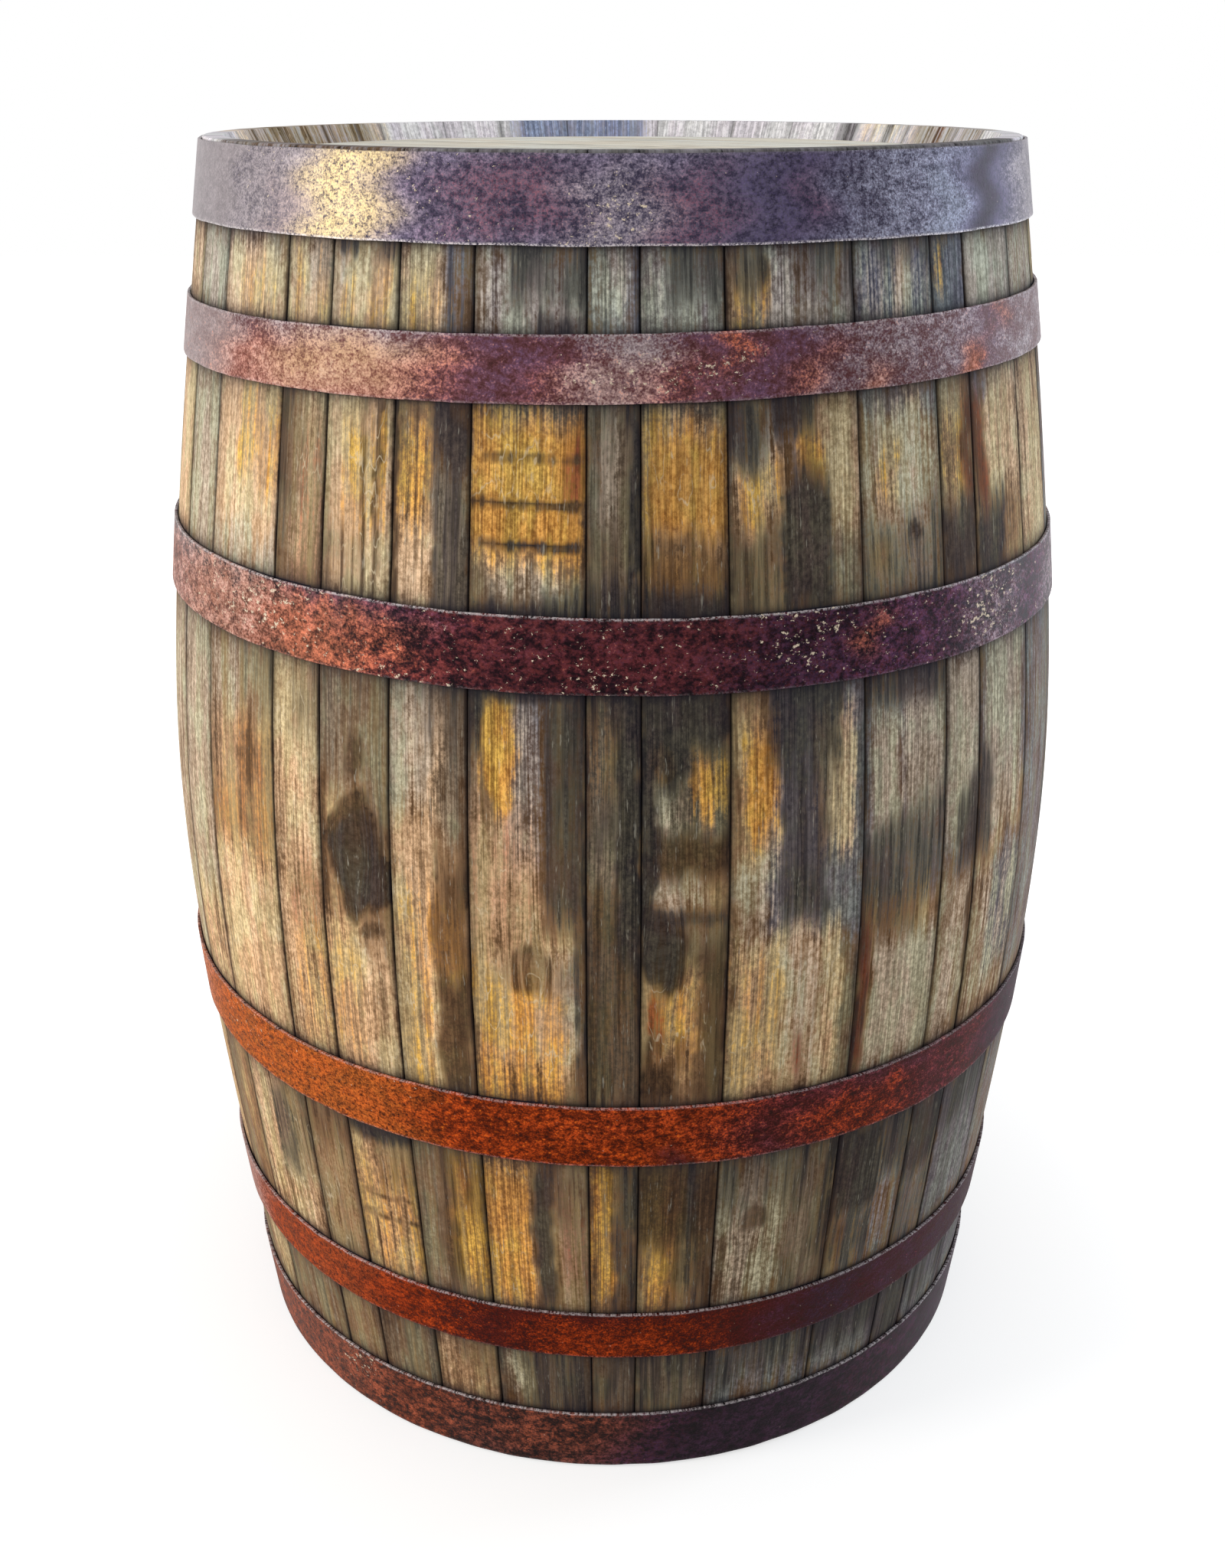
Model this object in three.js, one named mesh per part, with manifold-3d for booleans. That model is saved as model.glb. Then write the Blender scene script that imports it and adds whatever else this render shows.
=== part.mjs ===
// An upright oak barrel: thirty-one bent staves, two boarded heads set in their croze grooves,
// six riveted steel hoops and a tapered bung. Millimetres, +Z up. The origin is the middle of
// the foot, and the side that is usually seen faces -Y. Azimuths turn from -Y towards +X.
import * as THREE from 'three';
import { mergeVertices } from 'three/addons/utils/BufferGeometryUtils.js';
import Module from 'manifold-3d';

const wasm = await Module();
wasm.setup();

// Driving dimensions of the cask
const barrelHeight = 900;
const bilgeRadius = 330;
const endRadius = 283;
const bendShare = 2.38; // how evenly a stave bends: a low value gives an arc, a high one a cone
const fullTurn = 2 * Math.PI;

// Clearances: wood to wood, hoop to wood, and a head's round rim in its groove
const seamGap = 0.3;
const hoopClearance = 0.4;
const rimClearance = 0.8;
const cutOverrun = 5;

// Staves
const staveThickness = 27;
const chimeThickness = 14; // wood left at a stave's end, outside the bevel
const chimeBevelHeight = 20;
const crozeSetback = 29; // from a stave's end to the middle of the groove
const crozeWidth = 5.6;
const crozeDepth = 5;
const staveLengthSteps = 12;
const staveInnerSteps = 9;
const staveFacetAngle = THREE.MathUtils.degToRad(6.2);
const bungAzimuth = Math.PI;
const bungStaveIndex = 21;
const staveWidthShares = [
  9.6, 13.9, 7.4, 9.4, 9.2, 12.7, 5.8, 9.5, 15.9, 12.1, 6.4, 12.3, 12.3,
  11.2, 13.6, 10.4, 14.1, 12.3, 13.2, 11.5, 13.95,
  16.5,
  12.4, 10.8, 13.1, 11.6, 12.7, 9.9, 13.4, 11.3, 11.55,
];

// Hoops: a quarter hoop's setback runs from the stave ends to its nearer edge, a bilge hoop's
// offset from the middle of the bilge to its nearer edge, and a skew is how far a hoop sits
// higher on its -X side than at its middle
const hoopThickness = 2;
const lapLength = 66;
const lapSteps = 3;
const ringSteps = 58;
const lapStagger = THREE.MathUtils.degToRad(24);
const endHoopSetback = 1.5;
const headHoopWidth = 50;
const quarterHoopWidth = 39;
const bilgeHoopWidth = 46;
const upperQuarterHoopSetback = 99;
const upperBilgeHoopOffset = 144;
const lowerBilgeHoopOffset = 132;
const lowerQuarterHoopSetback = 106;
const upperQuarterHoopSkew = -4;
const upperBilgeHoopSkew = 3;
const lowerBilgeHoopSkew = 4.5;
const lowerQuarterHoopSkew = 3;

// Rivets
const rivetShankRadius = 2.6;
const rivetHeadRadius = 6.5;
const rivetHeadHeight = 2.6;
const rivetSides = 10;
const rivetDomeSteps = 2;

// Heads
const headThickness = 24;
const headFaceDepth = 12; // from the stave ends down to the head's flat outer face
const headBevelWidth = 18;
const headInnerBevelWidth = 6;
const headSides = 60;
const tongueDepth = 5;
const tongueThickness = 6;
const headBoardShares = [0.92, 1.08, 1, 1.12, 0.88];
const topBoardAngle = THREE.MathUtils.degToRad(-30);
const bottomBoardAngle = THREE.MathUtils.degToRad(25);

// Bung
const bungHoleRadius = 26;
const bungTaperShare = 0.07; // radius lost for each millimetre of depth
const bungProud = 7;
const bungInside = 3;
const bungBevel = 2;
const bungSides = 24;

const oak = { color: 0xa58a68, roughness: 0.85, metalness: 0 };
const headOak = { color: 0xc3b592, roughness: 0.85, metalness: 0 };
const bungWood = { color: 0xb08a5c, roughness: 0.8, metalness: 0 };
const rustySteel = { color: 0x5a3a3a, roughness: 0.65, metalness: 0.6 };
const rivetSteel = { color: 0x6a4a40, roughness: 0.6, metalness: 0.7 };

const barrel = new THREE.Group();

function addPiece(parent, name, geometry, finish) {
  const mesh = new THREE.Mesh(geometry, new THREE.MeshStandardMaterial(finish));
  mesh.name = name;
  parent.add(mesh);
  return mesh;
}

// The outer radius of the cask at a height, along a hyperbola from the bilge to each end.
function barrelRadius(height) {
  const reach = Math.abs((2 * height) / barrelHeight - 1);
  const rise = (share) => Math.sqrt(1 + share * share) - 1;
  const drop = rise(bendShare * reach) / rise(bendShare);
  return bilgeRadius - (bilgeRadius - endRadius) * drop;
}

function wallRadius(height) {
  return barrelRadius(height) - staveThickness;
}

function outwardAt(azimuth) {
  return new THREE.Vector3(Math.sin(azimuth), -Math.cos(azimuth), 0);
}

function alongAt(azimuth) {
  return new THREE.Vector3(Math.cos(azimuth), Math.sin(azimuth), 0);
}

// A closed solid through like sections: rings of points, joined side by side and capped.
function loftSolid(rings, sectionPoints) {
  const count = sectionPoints.length;
  const positions = rings.flat().flatMap((point) => [point.x, point.y, point.z]);
  const faces = [];
  for (let ring = 0; ring < rings.length - 1; ring += 1) {
    for (let i = 0; i < count; i += 1) {
      const next = (i + 1) % count;
      const a = ring * count + i;
      const b = ring * count + next;
      faces.push(a, b + count, b, a, a + count, b + count);
    }
  }
  const lastRing = (rings.length - 1) * count;
  for (const [a, b, c] of THREE.ShapeUtils.triangulateShape(sectionPoints, [])) {
    faces.push(a, b, c, lastRing + a, lastRing + c, lastRing + b);
  }
  const geometry = new THREE.BufferGeometry();
  geometry.setAttribute('position', new THREE.Float32BufferAttribute(positions, 3));
  geometry.setIndex(faces);
  return geometry;
}

function toManifold(geometry) {
  const bare = geometry.clone();
  bare.deleteAttribute('normal');
  bare.deleteAttribute('uv');
  const merged = mergeVertices(bare);
  return new wasm.Manifold(new wasm.Mesh({
    numProp: 3,
    vertProperties: new Float32Array(merged.attributes.position.array),
    triVerts: new Uint32Array(merged.index.array),
  }));
}

function fromManifold(solid) {
  const mesh = solid.getMesh();
  const geometry = new THREE.BufferGeometry();
  geometry.setAttribute('position', new THREE.BufferAttribute(mesh.vertProperties, 3));
  geometry.setIndex(new THREE.BufferAttribute(mesh.triVerts, 1));
  return geometry;
}

// Half of a stave's inner line, from its end to the far lip of the croze groove.
function chimeProfile(heightAt) {
  const wallPoint = (depth, cut) => {
    const height = heightAt(depth);
    return new THREE.Vector2(wallRadius(height) + cut, height);
  };
  const grooveStart = crozeSetback - crozeWidth / 2;
  const grooveEnd = crozeSetback + crozeWidth / 2;
  return [
    new THREE.Vector2(endRadius - chimeThickness, heightAt(0)),
    wallPoint(chimeBevelHeight, 0),
    wallPoint(grooveStart, 0),
    wallPoint(grooveStart, crozeDepth),
    wallPoint(grooveEnd, crozeDepth),
    wallPoint(grooveEnd, 0),
  ];
}

// A stave's long section, outer line up and inner line down, as (radius, height) points.
function staveSection() {
  const points = [];
  for (let i = 0; i <= staveLengthSteps; i += 1) {
    const height = (barrelHeight * i) / staveLengthSteps;
    points.push(new THREE.Vector2(barrelRadius(height), height));
  }
  points.push(...chimeProfile((depth) => barrelHeight - depth));
  const footDepth = crozeSetback + crozeWidth / 2;
  for (let i = 1; i < staveInnerSteps; i += 1) {
    const share = i / staveInnerSteps;
    const height = THREE.MathUtils.lerp(barrelHeight - footDepth, footDepth, share);
    points.push(new THREE.Vector2(wallRadius(height), height));
  }
  points.push(...chimeProfile((depth) => depth).reverse());
  return points;
}

// One stave between two seams, its side faces radial and half a gap clear of the seam.
function staveGeometry(section, startAzimuth, endAzimuth) {
  const steps = Math.ceil((endAzimuth - startAzimuth) / staveFacetAngle);
  const rings = [];
  for (let i = 0; i <= steps; i += 1) {
    const azimuth = THREE.MathUtils.lerp(startAzimuth, endAzimuth, i / steps);
    const inset = ((i === 0) - (i === steps)) * (seamGap / 2);
    const shift = alongAt(azimuth).multiplyScalar(inset);
    rings.push(section.map((point) => {
      const place = outwardAt(azimuth).multiplyScalar(point.x).add(shift);
      return place.setZ(point.y);
    }));
  }
  return loftSolid(rings, section);
}

// The radius of the tapered bung or its hole, at a distance from the barrel's axis.
function bungRadiusAt(distance) {
  return bungHoleRadius - (bilgeRadius - distance) * bungTaperShare;
}

// Turns a shape that is lathed round Y to lie along an azimuth, Y pointing outwards.
function turnOutwards(geometry, azimuth) {
  const turn = new THREE.Quaternion().setFromUnitVectors(
    new THREE.Vector3(0, 1, 0), outwardAt(azimuth));
  return geometry.applyQuaternion(turn);
}

function bungHoleGeometry() {
  const inner = bilgeRadius - staveThickness - cutOverrun;
  const outer = bilgeRadius + cutOverrun;
  const geometry = new THREE.LatheGeometry([
    new THREE.Vector2(0, inner),
    new THREE.Vector2(bungRadiusAt(inner), inner),
    new THREE.Vector2(bungRadiusAt(outer), outer),
    new THREE.Vector2(0, outer),
  ], bungSides);
  return turnOutwards(geometry, bungAzimuth).translate(0, 0, barrelHeight / 2);
}

function bungGeometry() {
  const inner = bilgeRadius - staveThickness - bungInside;
  const outer = bilgeRadius + bungProud;
  const sideRadius = (distance) => bungRadiusAt(distance) - seamGap;
  const geometry = new THREE.LatheGeometry([
    new THREE.Vector2(0, inner),
    new THREE.Vector2(sideRadius(inner) - bungBevel, inner),
    new THREE.Vector2(sideRadius(inner + bungBevel), inner + bungBevel),
    new THREE.Vector2(sideRadius(outer - bungBevel), outer - bungBevel),
    new THREE.Vector2(sideRadius(outer) - bungBevel, outer),
    new THREE.Vector2(0, outer),
  ], bungSides);
  return turnOutwards(geometry, bungAzimuth).translate(0, 0, barrelHeight / 2);
}

function buildStaves() {
  const section = staveSection();
  const shareTotal = staveWidthShares.reduce((sum, share) => sum + share, 0);
  const angles = staveWidthShares.map((share) => (share / shareTotal) * fullTurn);
  const beforeBung = angles.slice(0, bungStaveIndex).reduce((sum, angle) => sum + angle, 0);
  let seam = bungAzimuth - angles[bungStaveIndex] / 2 - beforeBung;
  angles.forEach((angle, index) => {
    const geometry = staveGeometry(section, seam, seam + angle);
    if (index === bungStaveIndex) {
      const bored = toManifold(geometry).subtract(toManifold(bungHoleGeometry()));
      addPiece(barrel, 'bung_stave', fromManifold(bored), oak);
    } else {
      addPiece(barrel, `stave_${String(index + 1).padStart(2, '0')}`, geometry, oak);
    }
    seam += angle;
  });
}

// A hoop's edge at one azimuth: it follows the wood that the skew slides it along, and the
// middles of its flats keep the clearance.
function hoopEdge(hoop, azimuth, edgeHeight, lift) {
  const height = edgeHeight - hoop.skew * outwardAt(azimuth).x;
  const radius = (barrelRadius(height) + hoopClearance) / Math.cos(Math.PI / ringSteps) + lift;
  return { radius, height };
}

function hoopSection(hoop, azimuth, lift) {
  const low = hoopEdge(hoop, azimuth, hoop.top - hoop.width, lift);
  const high = hoopEdge(hoop, azimuth, hoop.top, lift);
  return [
    new THREE.Vector2(low.radius, low.height),
    new THREE.Vector2(low.radius + hoopThickness, low.height),
    new THREE.Vector2(high.radius + hoopThickness, high.height),
    new THREE.Vector2(high.radius, high.height),
  ];
}

// The azimuths of a hoop's sections from its hidden end, once round and over the lap again.
function hoopAzimuths(hoop) {
  const lapAngle = lapLength / barrelRadius(hoop.top);
  const lap = Array.from({ length: lapSteps + 1 }, (_, i) => (lapAngle * i) / lapSteps);
  const round = [];
  for (let i = 1; i < ringSteps; i += 1) {
    round.push(THREE.MathUtils.lerp(lapAngle, fullTurn, i / ringSteps));
  }
  const start = hoop.lapAzimuth - lapAngle / 2;
  return [...lap, ...round, ...lap.map((angle) => angle + fullTurn)].map((a) => a + start);
}

function hoopStripGeometry(hoop) {
  const azimuths = hoopAzimuths(hoop);
  const firstLifted = azimuths.length - lapSteps - 2;
  const rings = azimuths.map((azimuth, index) => {
    const lift = index < firstLifted ? 0 : hoopThickness + seamGap;
    return hoopSection(hoop, azimuth, lift).map(
      (point) => outwardAt(azimuth).multiplyScalar(point.x).setZ(point.y));
  });
  return loftSolid(rings, hoopSection(hoop, azimuths[0], 0));
}

// Where each rivet of a hoop sits: on the middle of the lap's first and last flat.
function rivetPlaces(hoop) {
  const azimuths = hoopAzimuths(hoop);
  const flat = (azimuths[1] - azimuths[0]) / 2;
  return [azimuths[0] + flat, azimuths[lapSteps] - flat].map((azimuth) => {
    const [low, , , high] = hoopSection(hoop, azimuth, 0);
    const slope = Math.atan2(low.x - high.x, high.y - low.y);
    const seat = outwardAt(azimuth).multiplyScalar(((low.x + high.x) / 2) * Math.cos(flat));
    seat.setZ((low.y + high.y) / 2);
    const normal = outwardAt(azimuth).multiplyScalar(Math.cos(slope)).setZ(Math.sin(slope));
    return { seat, normal };
  });
}

function placeAlong(geometry, place) {
  const turn = new THREE.Quaternion().setFromUnitVectors(
    new THREE.Vector3(0, 1, 0), place.normal);
  return geometry.applyQuaternion(turn).translate(place.seat.x, place.seat.y, place.seat.z);
}

const lapStack = 2 * hoopThickness + seamGap;

function rivetHoleGeometry(place) {
  const radius = rivetShankRadius + seamGap;
  const geometry = new THREE.LatheGeometry([
    new THREE.Vector2(0, -cutOverrun),
    new THREE.Vector2(radius, -cutOverrun),
    new THREE.Vector2(radius, lapStack + cutOverrun),
    new THREE.Vector2(0, lapStack + cutOverrun),
  ], rivetSides);
  return placeAlong(geometry, place);
}

// A round-headed rivet: its shank fills the lap and its domed head lies outside.
function rivetGeometry(place) {
  const headBase = lapStack + seamGap;
  const profile = [
    new THREE.Vector2(0, 0),
    new THREE.Vector2(rivetShankRadius, 0),
    new THREE.Vector2(rivetShankRadius, headBase),
  ];
  for (let i = 0; i < rivetDomeSteps; i += 1) {
    const angle = ((i / rivetDomeSteps) * Math.PI) / 2;
    profile.push(new THREE.Vector2(
      rivetHeadRadius * Math.cos(angle), headBase + rivetHeadHeight * Math.sin(angle)));
  }
  profile.push(new THREE.Vector2(0, headBase + rivetHeadHeight));
  return placeAlong(new THREE.LatheGeometry(profile, rivetSides), place);
}

// The six hoops from the top down, their laps in two columns either side of the bung.
function hoopList() {
  const bilgeHeight = barrelHeight / 2;
  const hoops = [
    { name: 'top_head_hoop', top: barrelHeight - endHoopSetback, width: headHoopWidth, skew: 0 },
    {
      name: 'upper_quarter_hoop',
      top: barrelHeight - upperQuarterHoopSetback,
      width: quarterHoopWidth,
      skew: upperQuarterHoopSkew,
    },
    {
      name: 'upper_bilge_hoop',
      top: bilgeHeight + upperBilgeHoopOffset + bilgeHoopWidth,
      width: bilgeHoopWidth,
      skew: upperBilgeHoopSkew,
    },
    {
      name: 'lower_bilge_hoop',
      top: bilgeHeight - lowerBilgeHoopOffset,
      width: bilgeHoopWidth,
      skew: lowerBilgeHoopSkew,
    },
    {
      name: 'lower_quarter_hoop',
      top: lowerQuarterHoopSetback + quarterHoopWidth,
      width: quarterHoopWidth,
      skew: lowerQuarterHoopSkew,
    },
    {
      name: 'bottom_head_hoop',
      top: endHoopSetback + headHoopWidth,
      width: headHoopWidth,
      skew: 0,
    },
  ];
  return hoops.map((hoop, index) => {
    const side = index % 2 === 0 ? 1 : -1;
    return { ...hoop, lapAzimuth: bungAzimuth + side * lapStagger };
  });
}

function buildHoops() {
  for (const hoop of hoopList()) {
    const places = rivetPlaces(hoop);
    let strip = toManifold(hoopStripGeometry(hoop));
    for (const place of places) {
      strip = strip.subtract(toManifold(rivetHoleGeometry(place)));
    }
    addPiece(barrel, hoop.name, fromManifold(strip), rustySteel);
    places.forEach((place, index) => {
      addPiece(barrel, `${hoop.name}_rivet_${index + 1}`, rivetGeometry(place), rivetSteel);
    });
  }
}

// Heights on a head are counted from the middle of its croze groove, outwards.
const headFaceHeight = crozeSetback - headFaceDepth;
const headBackHeight = headFaceHeight - headThickness;

// The whole round head: bevelled both ways to a thin rim that stands in the groove.
function headDiscGeometry() {
  const wall = wallRadius(barrelHeight - crozeSetback);
  const rimHalf = crozeWidth / 2 - seamGap;
  const shoulder = wall - rimClearance;
  const rim = wall + crozeDepth - rimClearance;
  return new THREE.LatheGeometry([
    new THREE.Vector2(0, headBackHeight),
    new THREE.Vector2(shoulder - headInnerBevelWidth, headBackHeight),
    new THREE.Vector2(shoulder, -rimHalf),
    new THREE.Vector2(rim, -rimHalf),
    new THREE.Vector2(rim, rimHalf),
    new THREE.Vector2(shoulder, rimHalf),
    new THREE.Vector2(shoulder - headBevelWidth, headFaceHeight),
    new THREE.Vector2(0, headFaceHeight),
  ], headSides).rotateX(Math.PI / 2);
}

// A board's end view: flat-sided at the head's edge, tongued or grooved towards a neighbour.
function boardShape(low, high, hasGroove, hasTongue) {
  const bottom = headBackHeight - cutOverrun;
  const top = headFaceHeight + cutOverrun;
  const middle = (headFaceHeight + headBackHeight) / 2;
  const half = tongueThickness / 2;
  const shape = new THREE.Shape();
  shape.moveTo(low, bottom);
  shape.lineTo(high, bottom);
  if (hasTongue) {
    shape.lineTo(high, middle - half);
    shape.lineTo(high + tongueDepth, middle - half);
    shape.lineTo(high + tongueDepth, middle + half);
    shape.lineTo(high, middle + half);
  }
  shape.lineTo(high, top);
  shape.lineTo(low, top);
  if (hasGroove) {
    const wide = half + seamGap;
    shape.lineTo(low, middle + wide);
    shape.lineTo(low + tongueDepth, middle + wide);
    shape.lineTo(low + tongueDepth, middle - wide);
    shape.lineTo(low, middle - wide);
  }
  shape.closePath();
  return shape;
}

function buildHead(name, group, boardAngle) {
  const disc = toManifold(headDiscGeometry());
  const radius = wallRadius(barrelHeight - crozeSetback) + crozeDepth;
  const shareTotal = headBoardShares.reduce((sum, share) => sum + share, 0);
  let low = -radius;
  headBoardShares.forEach((share, index) => {
    const isFirst = index === 0;
    const isLast = index === headBoardShares.length - 1;
    const high = low + (share / shareTotal) * 2 * radius;
    const start = isFirst ? low - cutOverrun : low + seamGap / 2;
    const end = isLast ? high + cutOverrun : high - seamGap / 2;
    const length = 2 * (radius + cutOverrun);
    const slab = new THREE.ExtrudeGeometry(
      boardShape(start, end, !isFirst, !isLast), { depth: length, bevelEnabled: false });
    slab.translate(0, 0, -length / 2).rotateX(Math.PI / 2).rotateZ(boardAngle + Math.PI / 2);
    const board = disc.intersect(toManifold(slab));
    addPiece(group, `${name}_board_${index + 1}`, fromManifold(board), headOak);
    low = high;
  });
  barrel.add(group);
}

function buildHeads() {
  const top = new THREE.Group();
  top.position.z = barrelHeight - crozeSetback;
  buildHead('top_head', top, topBoardAngle);
  const bottom = new THREE.Group();
  bottom.position.z = crozeSetback;
  bottom.rotation.x = Math.PI;
  buildHead('bottom_head', bottom, bottomBoardAngle);
}

buildStaves();
buildHoops();
buildHeads();
addPiece(barrel, 'bung', bungGeometry(), bungWood);

export default barrel;
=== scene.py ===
"""Dresses an upright oak barrel: staves, heads, riveted hoops and a bung.

Lengths are metres, +Z is up and the side that is usually seen faces -Y. Azimuths turn from -Y
towards +X. Staves are counted from 1, in the order of their azimuths.
"""

import math

import bpy
import numpy as np
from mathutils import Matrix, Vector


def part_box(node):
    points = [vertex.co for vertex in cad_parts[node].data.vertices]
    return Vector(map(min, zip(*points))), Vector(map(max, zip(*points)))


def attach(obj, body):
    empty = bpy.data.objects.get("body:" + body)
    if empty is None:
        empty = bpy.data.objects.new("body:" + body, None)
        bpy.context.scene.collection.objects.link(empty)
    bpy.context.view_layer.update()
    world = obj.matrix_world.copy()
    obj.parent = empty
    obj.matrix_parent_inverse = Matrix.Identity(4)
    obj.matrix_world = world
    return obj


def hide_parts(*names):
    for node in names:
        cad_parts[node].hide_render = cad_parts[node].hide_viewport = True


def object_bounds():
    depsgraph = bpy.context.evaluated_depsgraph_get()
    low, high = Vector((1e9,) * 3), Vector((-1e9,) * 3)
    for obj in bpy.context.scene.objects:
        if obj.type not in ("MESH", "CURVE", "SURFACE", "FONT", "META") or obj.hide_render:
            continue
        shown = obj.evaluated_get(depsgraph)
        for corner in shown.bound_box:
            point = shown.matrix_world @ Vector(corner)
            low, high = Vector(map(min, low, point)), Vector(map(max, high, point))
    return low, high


bl_info = {
    "name": "Oak Barrel",
    "version": (1, 0, 0),
    "blender": (4, 5, 0),
    "location": "3D View > Sidebar > Barrel",
    "description": "Makes the staves, hoops, rivets, heads and bung of an upright oak barrel",
    "category": "Add Mesh",
}

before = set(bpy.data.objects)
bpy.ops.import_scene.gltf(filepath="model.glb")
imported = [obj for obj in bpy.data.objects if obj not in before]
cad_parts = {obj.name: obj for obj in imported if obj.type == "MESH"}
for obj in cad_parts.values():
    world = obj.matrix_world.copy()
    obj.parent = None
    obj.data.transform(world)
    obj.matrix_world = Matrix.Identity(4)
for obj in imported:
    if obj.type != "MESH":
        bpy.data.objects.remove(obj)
CAD_LOW, CAD_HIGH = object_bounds()

MM = 0.001
FULL_TURN = 2 * math.pi
SHARP_ANGLE = math.radians(38)

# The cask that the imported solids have
BARREL_HEIGHT = CAD_HIGH.z
BILGE_RADIUS = 0.330
END_RADIUS = 0.283
BEND_SHARE = 2.38
STAVE_THICKNESS = 0.027
CHIME_THICKNESS = 0.014
CHIME_BEVEL_HEIGHT = 0.020
CROZE_SETBACK = 0.029
CROZE_WIDTH = 0.0056
CROZE_DEPTH = 0.005
STAVE_SHARES = (
    9.6, 13.9, 7.4, 9.4, 9.2, 12.7, 5.8, 9.5, 15.9, 12.1, 6.4, 12.3, 12.3, 11.2, 13.6, 10.4,
    14.1, 12.3, 13.2, 11.5, 13.95, 16.5, 12.4, 10.8, 13.1, 11.6, 12.7, 9.9, 13.4, 11.3, 11.55,
)
# The staves after the last seen one and before the last of all show only from behind
LAST_SEEN_STAVE = 14
BUNG_STAVE = 22
BUNG_AZIMUTH = math.pi
BUNG_HEIGHT = BARREL_HEIGHT / 2
BUNG_HOLE_RADIUS = 0.026
BUNG_TAPER = 0.07
BUNG_PROUD = 0.007
BUNG_INSIDE = 0.003
LAP_LENGTH = 0.066
LAP_STAGGER = math.radians(24)
LAP_FLATS = 3
RING_FLATS = 58
HEAD_THICKNESS = 0.024
HEAD_FACE_DEPTH = 0.012
HEAD_BEVEL_WIDTH = 0.018
HEAD_INNER_BEVEL_WIDTH = 0.006
HEAD_RIM_CLEARANCE = 0.0008
HEAD_SHARES = (0.92, 1.08, 1.0, 1.12, 0.88)
TOP_BOARD_ANGLE = math.radians(-30)
BOTTOM_BOARD_ANGLE = math.radians(25)

# Small forms that the solids leave out
STRIP_CORNER = 0.55 * MM
RIVET_SINK = 0.2 * MM
RIVET_RIM = 0.3 * MM
BOARD_ARRIS = 0.9 * MM
BUNG_BEVEL = 2 * MM
BUNG_CLEARANCE = 0.3 * MM
BUNG_DISH = 0.9 * MM
BUNG_GROOVE_DEPTH = 0.5 * MM
BUNG_GROOVE_WIDTH = 0.5 * MM
BUNG_GROOVES = (0.42, 0.78)

# Where rows and columns lie close together, in millimetres from a stave's end, a stave's long
# edge and a board's edge
STAVE_END_ROWS = (0, 0.15, 0.4, 0.8, 1.4, 4, 8, 14)
STAVE_EDGE_COLUMNS = (0, 0.12, 0.35, 0.7, 1.2, 1.9, 2.9)
BOARD_EDGE_ROWS = (0, 0.15, 0.4, 0.8, 1.4, 3)

# How far apart the patterns of two neighbouring pieces lie in their noise
GRAIN_STEP = 7.31
STRIP_STEP = 3.7
RIVET_STEP = 11.0
BOARD_STEP = 13.0

# How finely boards and round shapes are divided, and where a board's even rows begin
BOARD_ROWS = 22
BOARD_COLUMNS = 42
BOARD_EDGE_REACH = 6 * MM
HOOP_STATIONS = 560
BUNG_SIDES = 72
HOLE_SIDES = 96
RIVET_SIDES = 28

# Random seeds, each counted up by stave or hoop
STAVE_SEED = 100
HOOP_SEED = 300
FAR_RUST_SEED = 500
RUST_SEED = 700

# The studio: the camera's place, tilt, lens in millimetres and shift, and the floor
CAMERA_PLACE = (0, -1.291, 0.9444)
CAMERA_TILT = 0.3124
CAMERA_LENS = 40.42
CAMERA_SENSOR = 36
CAMERA_SHIFT = -0.0955
FLOOR_REACH = 8
FLOOR_CELLS = 16
FLOOR_DROP = 0.0006
WHITE = (1, 1, 1, 1)

# Area lamps: name, azimuth in degrees, height, distance, width, length, power and colour
LAMPS = (
    ("key_light", -68, 1.1, 2.7, 0.8, 1.9, 42, (1.0, 0.96, 0.89)),
    ("edge_light", 108, 1.0, 2.6, 0.8, 1.9, 27, (0.74, 0.87, 1.0)),
    ("front_light", 8, 1.9, 3.2, 1.2, 1.2, 9, (0.96, 0.98, 1.0)),
)

# Noise of the wood and of the steel: output, scale along each axis, detail, roughness and shift
GRAIN_SWAY = 0.005
GRAIN_NOISES = (
    ("Comb", (720, 14, 1), 3, 0.6, (0, 0, 0)),
    ("Streak", (260, 9, 1), 4, 0.62, (3, 1, 7)),
    ("Band", (64, 6, 1), 3, 0.55, (9, 4, 2)),
    ("Mottle", (360, 250, 1), 4, 0.74, (2, 8, 5)),
    ("Cloud", (38, 24, 1), 5, 0.66, (6, 3, 8)),
)
CORROSION_NOISES = (
    ("Grit", (640, 700, 1), 4, 0.7, (0, 0, 0)),
    ("Cloud", (52, 74, 1), 5, 0.66, (4, 2, 9)),
    ("Crust", (210, 270, 1), 5, 0.72, (1, 6, 3)),
    ("Fleck", (230, 290, 1), 4, 0.72, (7, 7, 1)),
)

# Tints of the staves: height from and to, tint below and tint above
HEIGHT_TINTS = (
    (0.3, 0.8, (1.08, 0.99, 0.93), (1.09, 1.09, 1.13)),
    (0.78, 0.81, (1, 1, 1), (1.02, 1.08, 1.17)),
)

# Hoops from the top down: node, and how far the hoop sits higher on its -X side
HOOPS = (
    ("top_head_hoop", 0.0),
    ("upper_quarter_hoop", -0.004),
    ("upper_bilge_hoop", 0.003),
    ("lower_bilge_hoop", 0.0045),
    ("lower_quarter_hoop", 0.003),
    ("bottom_head_hoop", 0.0),
)

# Stains that the staves carry, in the order of the channels of their two colour attributes,
# and in the order in which they lie over each other
STAIN_KINDS = ("dark", "amber", "grey", "pale", "red", "brown", "blue", "cream")
STAIN_LAYERS = ("grey", "blue", "pale", "cream", "amber", "red", "brown", "dark")

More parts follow.
